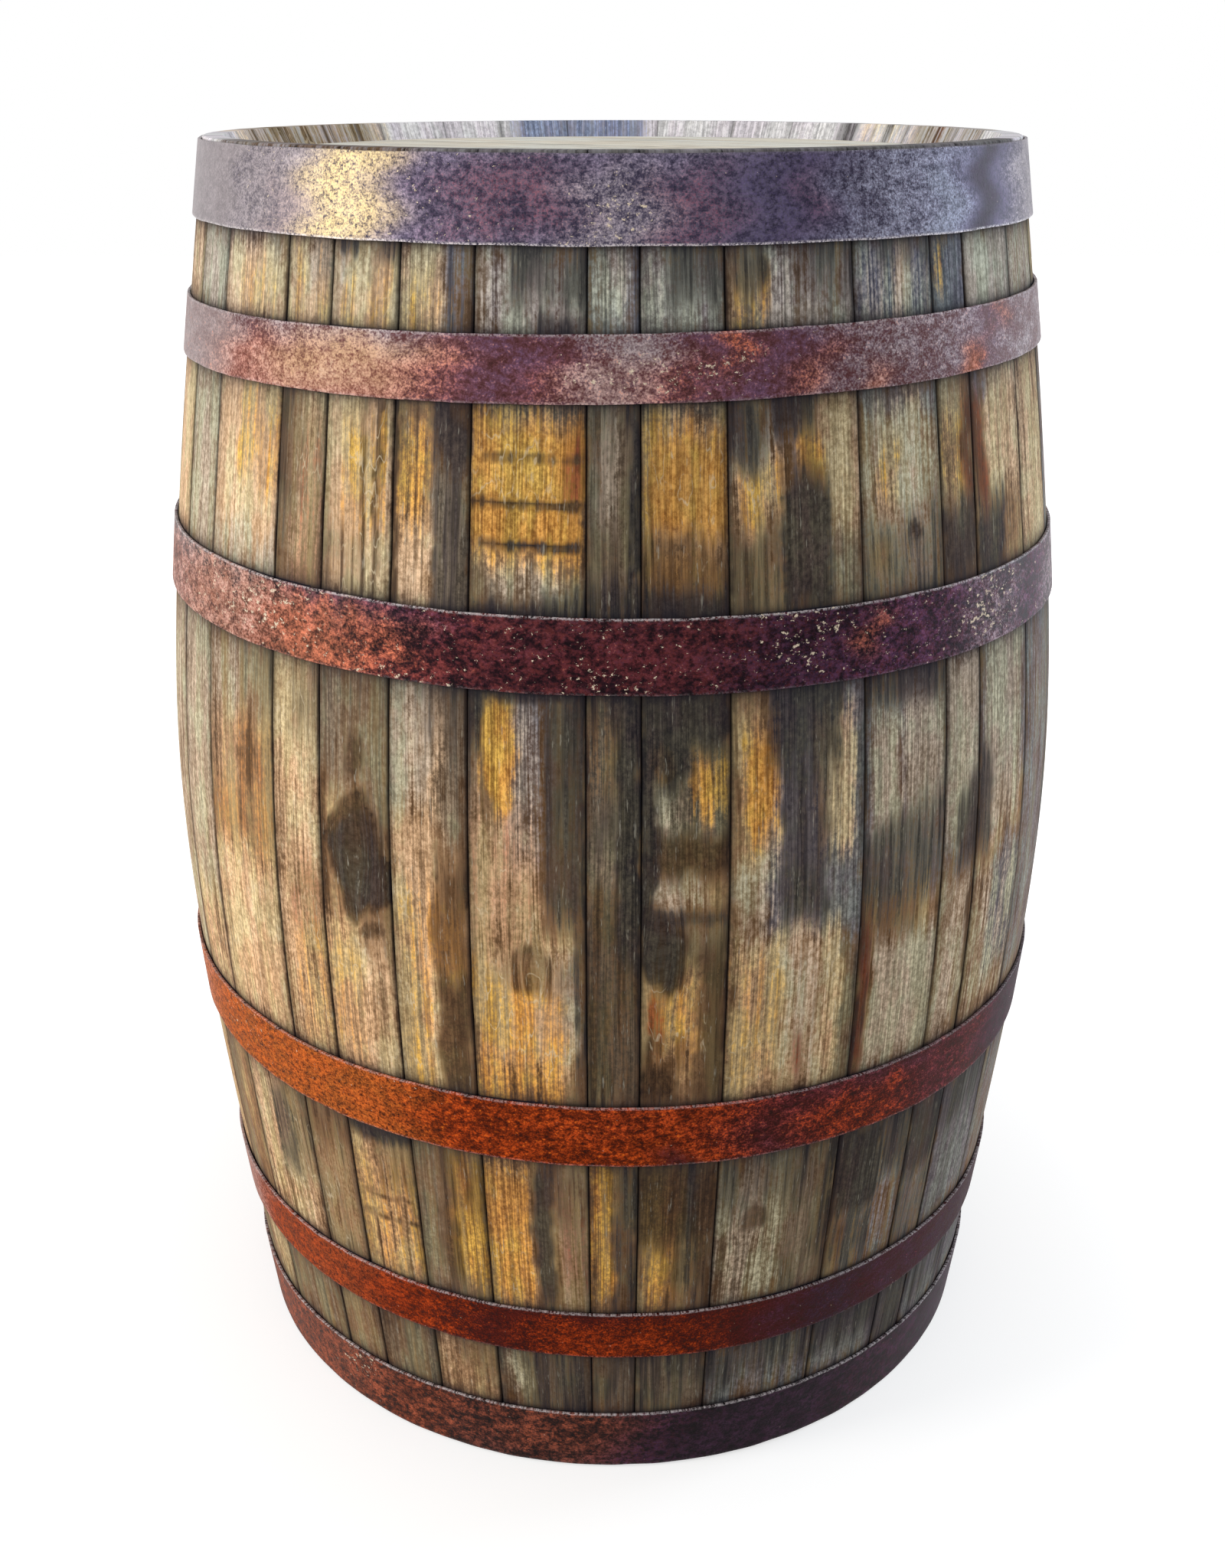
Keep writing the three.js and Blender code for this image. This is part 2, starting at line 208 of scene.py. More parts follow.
# Stains by stave and kind. Each row: share across from and to, height from and to in
# millimetres, strength, and "oval" or "knot" where the patch isn't a soft-edged block
# Dark rows that reach up to a hoop's lower edge, such as those up to 600 mm, paint the shade under
# that hoop as well as stain.
STAINS = {
    1: {
        "cream": [(0, 1, 795, 850, 0.85), (0, 1, 640, 765, 0.7), (0, 1, 400, 600, 0.7)],
        "grey": [(0, 0.5, 140, 275, 0.5), (0, 1, 50, 75, 0.4)],
        "pale": [(0, 1, 318, 470, 0.6), (0, 1, 70, 110, 0.5)],
    },
    2: {
        "amber": [(0.3, 0.9, 800, 828, 0.3), (0.4, 1, 700, 752, 0.5), (0, 1, 440, 540, 0.12)],
        "blue": [(0, 0.9, 832, 852, 0.4)],
        "brown": [(0.6, 1, 200, 275, 0.35)],
        "cream": [(0, 1, 636, 668, 0.6), (0, 0.5, 490, 590, 0.35)],
        "dark": [(0.4, 0.7, 190, 258, 0.55)],
        "grey": [(0, 1, 548, 600, 0.3), (0, 1, 220, 275, 0.35), (0.34, 0.76, 182, 262, 0.95),
            (0, 1, 50, 110, 0.5)],
        "pale": [(0, 1, 795, 840, 0.9), (0, 1, 640, 765, 0.85), (0, 1, 318, 450, 0.75),
            (0, 1, 140, 275, 0.5)],
        "red": [(0, 1, 450, 535, 0.12)],
    },
    3: {
        "amber": [(0.1, 1, 795, 846, 0.2), (0.3, 1, 330, 420, 0.2)],
        "brown": [(0, 0.5, 690, 765, 0.4), (0.4, 1, 548, 600, 0.3), (0, 1, 140, 275, 0.3)],
        "cream": [(0.4, 1, 820, 850, 0.8)],
        "grey": [(0, 1, 636, 765, 0.4), (0.4, 1, 545, 600, 0.45), (0, 1, 50, 110, 0.25)],
        "pale": [(0, 1, 795, 850, 0.9), (0.3, 1, 660, 765, 0.4), (0, 1, 455, 600, 0.7),
            (0, 1, 318, 440, 0.5), (0, 1, 140, 240, 0.4)],
        "red": [(0.3, 1, 636, 740, 0.22), (0.3, 1, 400, 470, 0.2, "oval")],
    },
    4: {
        "amber": [(0.2, 0.9, 795, 836, 0.3), (0.3, 0.95, 680, 748, 0.5), (0, 0.5, 330, 420, 0.2),
            (0, 1, 150, 250, 0.3)],
        "brown": [(0.56, 0.64, 600, 765, 0.55), (0.74, 0.81, 588, 765, 0.95),
            (0, 0.6, 640, 688, 0.45), (0.38, 0.66, 528, 562, 0.75, "oval"),
            (0.06, 0.96, 432, 526, 1.0, "knot"), (0.42, 1.12, 434, 490, 1.0, "knot"),
            (0.55, 0.95, 419, 431, 0.7, "oval"), (0.6, 1, 405, 450, 0.3), (0.45, 1, 222, 268, 0.3),
            (0.1, 0.9, 213, 216, 0.7), (0.1, 1, 195, 198, 0.7)],
        "cream": [(0.1, 0.6, 818, 845, 0.4)],
        "dark": [(0.05, 0.4, 841, 852, 0.6), (0.65, 1, 836, 852, 0.55),
            (0.16, 0.9, 438, 514, 0.62, "knot"), (0.5, 1.05, 438, 482, 0.6, "knot"),
            (0, 1, 262, 278, 0.85)],
        "grey": [(0, 1, 632, 664, 0.6), (0, 0.6, 640, 688, 0.6), (0, 1, 520, 600, 0.6),
            (0.6, 1, 470, 600, 0.6), (0, 1, 50, 110, 0.65)],
        "pale": [(0, 1, 795, 848, 0.9), (0, 1, 645, 765, 0.9), (0, 1, 318, 425, 0.65),
            (0, 1, 140, 262, 0.5)],
    },
    5: {
        "amber": [(0.05, 0.55, 798, 832, 0.3), (0.08, 0.48, 688, 748, 0.6),
            (0.5, 0.95, 400, 455, 0.45), (0.1, 0.45, 318, 466, 0.35), (0.5, 1, 160, 268, 0.65)],
        "blue": [(0.6, 1, 795, 850, 0.5)],
        "brown": [(0, 0.06, 600, 765, 0.7), (0.56, 0.97, 318, 410, 0.8),
            (0.56, 0.97, 405, 482, 0.5), (0.35, 0.6, 150, 272, 0.55), (0.5, 1, 226, 272, 0.3),
            (0.4, 1, 76, 110, 0.3)],
        "cream": [(0, 0.55, 520, 600, 0.6)],
        "dark": [(0.62, 1, 795, 832, 0.3), (0.53, 1, 718, 765, 0.85), (0.53, 1, 590, 722, 0.4),
            (0.4, 1, 552, 600, 0.2)],
        "grey": [(0, 1, 795, 850, 0.4), (0.53, 1, 590, 722, 0.9), (0.4, 1, 500, 600, 0.65),
            (0, 1, 140, 275, 0.5)],
        "pale": [(0, 0.6, 795, 846, 0.7), (0.1, 0.5, 640, 700, 0.75), (0, 0.7, 500, 580, 0.4),
            (0, 0.55, 318, 520, 0.7), (0, 1, 50, 110, 0.3)],
    },
    6: {
        "amber": [(0, 1, 674, 752, 1.0), (0.1, 0.42, 516, 598, 0.85, "oval"),
            (0, 0.8, 318, 415, 0.5), (0, 0.44, 148, 268, 0.75)],
        "blue": [(0.1, 1, 795, 850, 0.65), (0.36, 0.66, 480, 592, 0.6)],
        "brown": [(0.1, 0.95, 729, 733, 0.6), (0, 1, 702, 707, 1.0), (0.1, 1, 678, 684, 0.8),
            (0.25, 0.85, 398, 432, 0.55, "oval"), (0.7, 1, 226, 270, 0.4)],
        "cream": [(0, 1, 795, 850, 0.5), (0.05, 0.4, 800, 812, 0.55), (0.25, 0.8, 652, 674, 0.5),
            (0.34, 0.62, 490, 586, 0.3, "oval"), (0.72, 0.96, 362, 425, 0.7),
            (0.72, 1, 152, 274, 0.4), (0.12, 0.2, 52, 98, 0.8)],
        "dark": [(0.3, 1, 818, 852, 0.6), (0.55, 0.92, 797, 813, 0.75), (0.3, 0.95, 678, 682, 0.9),
            (0, 0.6, 634, 647, 0.75), (0.6, 1, 634, 655, 0.5), (0, 0.12, 556, 600, 0.85),
            (0, 1, 588, 600, 0.8), (0.64, 1, 452, 600, 0.74), (0.9, 1, 318, 450, 0.6),
            (0.47, 0.68, 143, 270, 0.8), (0.35, 1, 50, 110, 0.5)],
        "grey": [(0, 1, 752, 765, 0.85), (0, 1, 634, 676, 0.65), (0, 1, 500, 600, 0.45),
            (0, 1, 50, 110, 0.7)],
        "pale": [(0, 0.8, 672, 754, 0.7), (0, 0.9, 345, 430, 0.85), (0, 0.6, 430, 520, 0.5),
            (0, 0.44, 145, 270, 0.6)],
        "red": [(0.78, 1, 705, 748, 0.5), (0, 0.62, 415, 520, 0.16), (0.74, 1, 160, 268, 0.35)],
    },
    7: {
        "amber": [(0, 0.6, 530, 585, 0.25), (0, 0.5, 150, 274, 0.6)],
        "blue": [(0, 1, 795, 850, 0.6)],
        "brown": [(0, 1, 634, 765, 0.35), (0, 1, 318, 470, 0.6)],
        "cream": [(0.1, 0.8, 806, 848, 0.5), (0.1, 0.6, 690, 765, 0.7)],
        "dark": [(0, 1, 634, 660, 0.7), (0.8, 1, 600, 765, 0.85), (0, 0.7, 495, 600, 0.4),
            (0.3, 1, 560, 600, 0.7), (0.6, 1, 425, 600, 1.0), (0.5, 1, 143, 274, 0.6),
            (0, 1, 50, 110, 0.4)],
        "grey": [(0, 1, 795, 850, 0.3), (0, 1, 634, 765, 0.75), (0, 1, 318, 600, 0.85),
            (0, 1, 143, 274, 0.4), (0, 1, 50, 110, 0.7)],
    },
    8: {
        "amber": [(0.04, 1, 682, 748, 0.85), (0.04, 0.95, 650, 684, 0.45),
            (0.1, 0.38, 538, 562, 0.7, "oval"), (0.52, 1, 520, 556, 0.7),
            (0.12, 0.72, 344, 412, 0.55), (0.08, 0.5, 148, 250, 0.45)],
        "blue": [(0, 1, 795, 850, 0.7)],
        "brown": [(0.15, 0.6, 672, 688, 0.65), (0, 1, 638, 686, 0.6), (0.05, 0.95, 690, 740, 0.1),
            (0.05, 1, 479, 506, 0.9), (0, 0.56, 398, 455, 1.0, "oval"), (0.62, 1, 318, 440, 0.7),
            (0, 0.45, 318, 350, 0.9), (0, 0.6, 340, 366, 0.45), (0, 1, 200, 274, 0.85),
            (0.4, 1, 143, 210, 0.45)],
        "cream": [(0, 1, 795, 850, 0.4), (0, 0.25, 800, 838, 0.5), (0.12, 0.4, 496, 532, 0.5),
            (0.08, 0.78, 451, 483, 0.5, "oval")],
        "dark": [(0.3, 0.95, 818, 852, 0.6), (0, 1, 634, 656, 0.8), (0, 1, 560, 600, 0.9),
            (0, 0.16, 425, 600, 1.0), (0.05, 0.6, 538, 600, 1.0), (0.1, 1, 445, 457, 0.7),
            (0, 0.5, 402, 452, 0.55, "oval"), (0.62, 0.74, 143, 274, 0.6), (0, 1, 50, 110, 0.35),
            (0.4, 1, 76, 110, 0.6)],
        "grey": [(0, 1, 752, 765, 0.8), (0, 1, 496, 578, 0.85), (0.4, 1, 400, 456, 0.6),
            (0.5, 1, 143, 274, 0.5), (0, 1, 50, 110, 0.8)],
        "pale": [(0.05, 1, 675, 752, 0.7), (0.1, 0.75, 340, 412, 0.6)],
        "red": [(0.08, 0.28, 350, 398, 0.45)],
    },
    9: {
        "amber": [(0.02, 0.3, 800, 842, 0.4), (0.05, 0.42, 695, 726, 0.45),
            (0.52, 0.72, 712, 738, 0.65), (0.1, 0.33, 500, 572, 0.85), (0, 0.4, 328, 425, 0.22)],
        "blue": [(0.1, 1, 795, 852, 0.6), (0, 0.5, 712, 760, 0.35), (0.25, 1, 424, 600, 0.8),
            (0, 1, 50, 110, 0.5)],
        "brown": [(0.02, 0.4, 640, 692, 0.35), (0.55, 1, 143, 274, 0.35),
            (0.2, 0.45, 204, 226, 0.6, "oval")],
        "cream": [(0, 1, 795, 850, 0.4), (0.1, 1, 799, 815, 0.65), (0.22, 0.33, 720, 750, 0.75),
            (0.05, 0.33, 436, 490, 0.55), (0.35, 0.72, 328, 425, 0.4), (0, 0.86, 148, 266, 0.4)],
        "dark": [(0, 0.3, 826, 852, 0.5), (0.5, 1, 820, 852, 0.35), (0, 0.3, 730, 765, 0.65),
            (0.3, 0.65, 738, 765, 0.75), (0.38, 0.76, 634, 716, 0.92), (0.25, 0.8, 540, 600, 0.75),
            (0.36, 0.72, 440, 560, 0.62), (0.86, 1, 170, 274, 0.6), (0, 1, 228, 278, 0.35),
            (0, 1, 74, 110, 0.45)],
        "grey": [(0.72, 1, 640, 692, 0.7), (0.02, 0.4, 640, 692, 0.5), (0.86, 1, 318, 490, 0.65),
            (0, 1, 143, 274, 0.7), (0, 1, 50, 110, 0.8)],
        "pale": [(0.03, 0.42, 693, 728, 0.7), (0.7, 1, 690, 765, 0.75), (0.08, 0.34, 480, 574, 0.6),
            (0.62, 0.92, 487, 576, 0.7), (0, 0.85, 318, 432, 0.65)],
        "red": [(0.5, 0.62, 322, 352, 0.4)],
    },
    10: {
        "amber": [(0.2, 0.45, 690, 730, 0.35), (0.08, 0.3, 652, 672, 0.4)],
        "blue": [(0, 1, 795, 850, 0.9), (0, 1, 742, 765, 0.7), (0, 1, 440, 600, 0.6),
            (0.5, 1, 470, 560, 0.5), (0.2, 1, 143, 274, 0.5), (0, 1, 50, 110, 0.8)],
        "brown": [(0.55, 0.7, 669, 681, 1.0, "oval"), (0.1, 0.75, 408, 432, 0.3)],
        "cream": [(0, 1, 795, 850, 0.25), (0.05, 0.4, 802, 815, 0.4), (0, 1, 636, 748, 0.5),
            (0.08, 0.4, 490, 560, 0.9), (0.45, 1, 490, 570, 0.75), (0.15, 1, 318, 412, 0.85)],
        "dark": [(0.2, 1, 832, 852, 0.25), (0.8, 1, 636, 700, 0.5), (0, 1, 630, 684, 0.45),
            (0, 1, 572, 600, 0.65), (0, 1, 428, 502, 0.5, "oval"), (0, 0.5, 424, 480, 0.6),
            (0.6, 1, 466, 510, 0.5), (0, 0.13, 318, 432, 0.5), (0, 0.6, 190, 272, 0.9),
            (0, 0.6, 150, 195, 0.55), (0.5, 1, 220, 276, 0.65), (0, 1, 72, 110, 0.7)],
        "grey": [(0.15, 1, 318, 405, 0.3), (0.3, 1, 143, 274, 0.4)],
        "pale": [(0.48, 0.66, 806, 846, 0.8), (0.15, 0.5, 688, 750, 0.55),
            (0.52, 0.74, 686, 760, 0.8)],
        "red": [(0, 0.13, 318, 432, 0.8)],
    },
    11: {
        "amber": [(0.1, 0.35, 816, 842, 0.55), (0.05, 0.8, 688, 745, 0.45)],
        "blue": [(0, 1, 795, 850, 1.0), (0, 1, 440, 600, 0.5), (0, 1, 143, 274, 0.6),
            (0, 1, 50, 110, 0.8)],
        "brown": [(0.72, 1, 690, 748, 0.6), (0.88, 1, 318, 480, 0.7)],
        "cream": [(0, 0.6, 680, 760, 0.5), (0, 1, 470, 590, 0.9), (0, 0.9, 318, 436, 0.5)],
        "dark": [(0, 1, 636, 690, 0.8), (0.4, 1, 440, 500, 0.75), (0, 1, 200, 274, 0.75),
            (0, 1, 143, 205, 0.35), (0, 1, 50, 110, 0.65)],
        "red": [(0.68, 1, 680, 748, 0.7)],
    },
    12: {
        "blue": [(0.5, 1, 795, 850, 0.5), (0, 1, 748, 765, 0.5), (0, 1, 490, 600, 0.6),
            (0.35, 1, 340, 440, 0.8), (0, 1, 143, 274, 0.8), (0, 1, 50, 110, 1.0)],
        "brown": [(0, 0.16, 690, 740, 0.6)],
        "cream": [(0, 1, 795, 850, 0.9), (0.1, 0.85, 460, 600, 0.7), (0, 1, 318, 432, 0.4)],
        "dark": [(0, 0.55, 636, 684, 0.85), (0, 0.26, 452, 520, 0.65), (0, 0.5, 226, 276, 0.6),
            (0.5, 1, 225, 276, 0.35), (0, 1, 66, 110, 0.35)],
        "pale": [(0.3, 1, 686, 765, 0.7)],
        "red": [(0, 0.22, 680, 748, 0.7)],
    },
    13: {
        "blue": [(0, 1, 318, 600, 0.6), (0, 1, 143, 274, 0.6), (0, 1, 50, 110, 1.0)],
        "cream": [(0, 1, 795, 850, 0.6)],
        "pale": [(0, 1, 636, 765, 0.6)],
    },
    14: {
        "blue": [(0, 1, 636, 765, 0.5), (0, 1, 318, 600, 0.6)],
    },
    22: {
        "brown": [(0.42, 0.6, 318, 425, 0.6)],
        "dark": [(0.2, 0.8, 404, 496, 0.5, "oval")],
        "red": [(0.34, 0.66, 325, 435, 0.65)],
    },
    31: {
        "cream": [(0, 1, 318, 600, 0.6)],
        "grey": [(0, 1, 50, 110, 0.4)],
        "pale": [(0, 1, 795, 850, 0.5), (0, 1, 640, 765, 0.9), (0, 1, 140, 275, 0.5)],
    },
}

# Knots that the grain bends round: stave, share across, height and radius in millimetres
KNOTS = ((4, 0.5, 476, 14), (10, 0.61, 675, 6), (9, 0.26, 215, 8), (8, 0.22, 428, 12),
         (6, 0.55, 415, 9), (24, 0.4, 520, 16), (17, 0.6, 300, 12))

# The wood between each two hoops, and on the far side how often each kind of stain is drawn
# and the kinds of the even tones
STAIN_BANDS = ((50, 108), (143, 274), (318, 600), (636, 765), (795, 850))
STAIN_ODDS = (0.17, 0.14, 0.22, 0.17, 0.04, 0.1, 0.08, 0.08)
FAR_TONES = ("grey", "pale", "cream", "brown")

# How soft the sides and the ends of a stain are, and how far its edges wander
STAIN_SIDE = 7 * MM
STAIN_END = 34 * MM
STAIN_WANDER = 7 * MM

# Stains of the bung hole's wall: a little dark, then red with a little brown
HOLE_STAINS = ((0.2, 0, 0, 0), (0.5, 0.2, 0, 0))

# Stains of the upper stave ends: kind, azimuth from and to in degrees, strength
END_STAINS = (
    ("pale", 224, 268, 0.75),
    ("amber", 228, 256, 0.2),
    ("brown", 227, 262, 0.5),
    ("brown", 229, 230.5, 0.9),
    ("brown", 237, 238.5, 0.9),
    ("blue", 174, 198, 0.85),
    ("dark", 132.5, 136.5, 0.75),
    ("pale", 96, 132, 0.3),
    ("dark", 124.5, 126, 0.7),
    ("brown", 96, 118, 0.35),
    ("red", 110.5, 112.5, 0.7),
    ("brown", -62, -24, 0.85),
    ("red", -50, -22, 0.5),
    ("dark", -24, 66, 0.9),
)

# Kinds of rust, in the order of the channels of the hoops' two colour attributes
RUST_KINDS = ("orange", "fleck", "bright", "dark", "purple", "red", "dust", "clean")

# Rust patches by hoop, counted from the top, and kind. Each row: azimuth from and to in
# degrees, share of the width from and to, strength
# Bright patches paint highlights and light where the lamps fall, mostly on the left, over partly
# worn steel.
RUST_PATCHES = {
    1: {
        "bright": [(-38.5, -27, 0, 1, 1.0)],
        # The clean patches from 27 to 47 degrees paint a cool highlight and lighten the purple.
        "clean": [(27, 47, 0, 1, 0.4), (40, 47, 0, 0.8, 0.8)],
        "dark": [(50, 55, 0, 1, 1.0)],
        # The dust at both ends partly paints the white surroundings reflected at the hoop's edges.
        "dust": [(-100, -50, 0, 1, 0.95), (-56, -36, 0, 1, 0.78), (-4, 5, 0, 0.8, 0.3),
            (62, 100, 0, 1, 0.65)],
        "fleck": [(-56, -12, 0, 1, 0.5), (-23, -20, 0.5, 0.8, 1.0), (-5, 5, 0, 0.75, 0.9)],
        "purple": [(13, 30, 0, 1, 0.6), (46, 66, 0, 1, 0.6)],
        "red": [(-46, -38, 0, 0.6, 0.4), (-20, -4, 0.1, 0.9, 0.35), (4, 13, 0, 0.8, 0.3),
            (21, 25, 0.2, 0.7, 0.2)],
    },
    2: {
        "bright": [(-42, -25, 0.1, 0.9, 0.6)],
        "dust": [(-100, -50, 0, 1, 0.85), (-56, -22, 0, 1, 0.35), (-4, 5, 0, 1, 0.6),
            (25, 48, 0, 1, 0.35), (54, 100, 0, 1, 0.5)],
        "fleck": [(-6, 18, 0.1, 0.8, 0.8)],
        "orange": [(-56, -20, 0, 0.75, 0.75), (-6, 8, 0, 0.6, 0.3), (11, 14, 0.5, 1, 0.45),
            (21, 25, 0.1, 0.6, 0.45), (31, 34, 0, 0.35, 0.8), (46.5, 50.5, 0, 0.45, 1.0),
            (52, 56, 0.6, 1, 0.5)],
        "purple": [(-22, -8, 0, 1, 0.3), (-36, 30, 0.75, 1, 0.35), (14, 100, 0, 1, 0.3)],
    },
    3: {
        "bright": [(-62, -44, 0, 1, 0.45), (-44, -30, 0, 1, 0.2)],
        "dark": [(-16, 26, 0, 1, 0.35)],
        "dust": [(-100, -44, 0, 1, 0.45), (44, 56, 0, 1, 0.15), (66, 100, 0, 1, 0.25)],
        "fleck": [(-51, -37, 0.1, 0.95, 1.0), (-66, -26, 0, 1, 0.6), (-28, -14, 0, 0.2, 0.95),
            (-26, 100, 0, 1, 0.4), (-6, 6, 0, 0.45, 0.7), (12, 28, 0.2, 1, 0.85),
            (40, 56, 0.1, 1, 1.0)],
        "orange": [(-100, -28, 0, 0.85, 0.8), (-30, -22, 0.3, 0.8, 0.6), (27, 30, 0.35, 0.75, 0.6)],
        "purple": [(-40, -22, 0.6, 1, 0.8), (14, 100, 0, 1, 0.6)],
        "red": [(-12, 10, 0.15, 0.7, 0.5)],
    },
    4: {
        "bright": [(-100, -24, 0, 1, 0.6)],
        # The dark patch from 56 degrees on partly paints the shade of the right side.
        "dark": [(5, 9, 0, 0.2, 0.8), (56, 100, 0, 1, 0.8)],
        "dust": [(-100, -64, 0, 1, 0.3)],
        "fleck": [(-60, -46, 0.2, 1, 0.55), (-46, -20, 0.3, 1, 0.25)],
        "orange": [(-100, 14, 0, 1, 0.8), (22, 38, 0, 0.7, 0.5)],
        "purple": [(12, 52, 0, 1, 0.4), (52, 100, 0, 1, 0.9)],
        "red": [(-4, 30, 0.5, 1, 0.5), (40, 100, 0, 1, 0.4)],
    },
    5: {
        "bright": [(-100, -34, 0, 1, 0.4)],
        # The dark patch from 52 degrees on partly paints the shade of the right side.
        "dark": [(26, 36, 0, 1, 0.5), (40, 52, 0, 1, 0.2), (52, 100, 0, 1, 0.5)],
        "dust": [(-84, -62, 0, 1, 1.0)],
        "orange": [(-100, -20, 0, 1, 0.85), (-10, 12, 0, 0.8, 0.7)],
        "purple": [(22, 100, 0, 1, 0.55)],
    },
    6: {
        "bright": [(-100, -38, 0, 1, 0.4)],
        # The dark patch from 50 degrees on partly paints the shade of the right side.
        "dark": [(10, 35, 0, 1, 0.95), (50, 100, 0, 1, 0.5)],
        "fleck": [(-46, -36, 0.3, 1, 0.8)],
        "orange": [(-100, -22, 0, 1, 0.7), (-24, 0, 0.2, 1, 0.35)],
        "purple": [(2, 100, 0, 1, 0.8)],
    },
}

# Kinds, number and azimuths in degrees of the random rust patches at the back of each hoop
FAR_RUST_KINDS = ("orange", "fleck", "dark", "purple", "red", "dust")
FAR_RUST_COUNT = 42
FAR_RUST_SPAN = (95, 265)

# How soft the ends of a rust patch are in degrees, and how rusty rivets are, by kind
RUST_END = 14.0
RIVET_RUST = (0.2, 0.1, 0.15, 0.1)

# Finish of each hoop, from the top down: node, two rust colours, and the colours of its specks,
# orange rust, bright patches and purple scale, then the depth of the crusted pattern, share of
# specks, metallic share, roughness, and how light its edges are at the foot and at the top. The
# bright patches are painted highlights over partly worn steel, and the light edges are partly worn
# steel and partly painted highlight.
HOOP_FINISHES = (
    ("top_head_hoop", (68, 62, 84), (110, 102, 122), (206, 190, 178), (140, 80, 66),
     (232, 206, 148), (62, 54, 84), 0.28, 0.18, 0.4, 0.38, 0.9, 0.1),
    ("upper_quarter_hoop", (116, 68, 70), (92, 62, 78), (214, 144, 118), (188, 104, 70),
     (228, 196, 150), (66, 50, 74), 0.46, 0.46, 0.2, 0.42, 0.2, 0.4),
    ("upper_bilge_hoop", (48, 22, 34), (96, 42, 40), (204, 112, 78), (166, 94, 68),
     (206, 146, 116), (58, 40, 68), 0.64, 0.3, 0.15, 0.45, 0.1, 0.7),
    ("lower_bilge_hoop", (94, 25, 8), (56, 17, 16), (228, 128, 36), (150, 56, 14),
     (226, 130, 58), (56, 38, 56), 0.7, 0.42, 0.0, 0.55, 0.2, 0.4),
    ("lower_quarter_hoop", (88, 18, 4), (50, 11, 9), (206, 88, 20), (140, 50, 14),
     (200, 106, 60), (52, 28, 46), 0.6, 0.32, 0.0, 0.55, 0.1, 0.6),
    ("bottom_head_hoop", (60, 34, 32), (90, 50, 42), (160, 100, 84), (116, 58, 38),
     (178, 108, 86), (36, 18, 46), 0.8, 0.16, 0.02, 0.5, 0.2, 0.8),
)


def linear(red, green, blue):
    """A display colour, 0 to 255, as the linear colour that the shaders take."""
    shares = np.array([red, green, blue]) / 255
    low = shares / 12.92
    high = ((shares + 0.055) / 1.055) ** 2.4
    return tuple(float(value) for value in np.where(shares <= 0.04045, low, high))


def rgba(colour):
    """A colour with full alpha."""
    return (*tuple(colour)[:3], 1.0)


def size_property(name, description, default):
    return bpy.props.FloatProperty(
        name=name, description=description, default=default, min=0, unit="LENGTH", precision=5)


def colour_property(name, description, display):
    return bpy.props.FloatVectorProperty(
        name=name, description=description, default=linear(*display), size=3,
        subtype="COLOR", min=0, max=1)


def share_property(name, description, default):
    return bpy.props.FloatProperty(
        name=name, description=description, default=default, min=0, max=4, subtype="FACTOR")


class BarrelSizes(bpy.types.PropertyGroup):
    """Sizes that the dressed pieces may be given."""
    seam_gap: size_property("Seam gap", "Gap between two staves or boards", 0.0003)
    arris_radius: size_property("Arris", "Mean rounding of a stave's long edges", 0.0013)
    end_arris_radius: size_property("End arris", "Rounding of a stave's end", 0.0012)
    column_pitch: size_property("Column pitch", "Distance between a stave's columns", 0.003)
    row_pitch: size_property("Row pitch", "Distance between a stave's rows", 0.003)
    coarse_row_pitch: size_property("Coarse row pitch", "Row distance on the far side", 0.006)
    unevenness: size_property("Unevenness", "Depth of a stave's slow hollows", 0.0007)
    hoop_thickness: size_property("Hoop thickness", "Thickness of the strip steel", 0.002)
    hoop_clearance: size_property("Hoop clearance", "Gap between the staves and a hoop", 0.0004)
    hoop_wobble: size_property("Hoop wobble", "How far a hoop's edges and face waver", 0.0003)
    rivet_radius: size_property("Rivet head", "Radius of a rivet's head", 0.0065)
    rivet_height: size_property("Rivet height", "Height of a rivet's head", 0.0026)


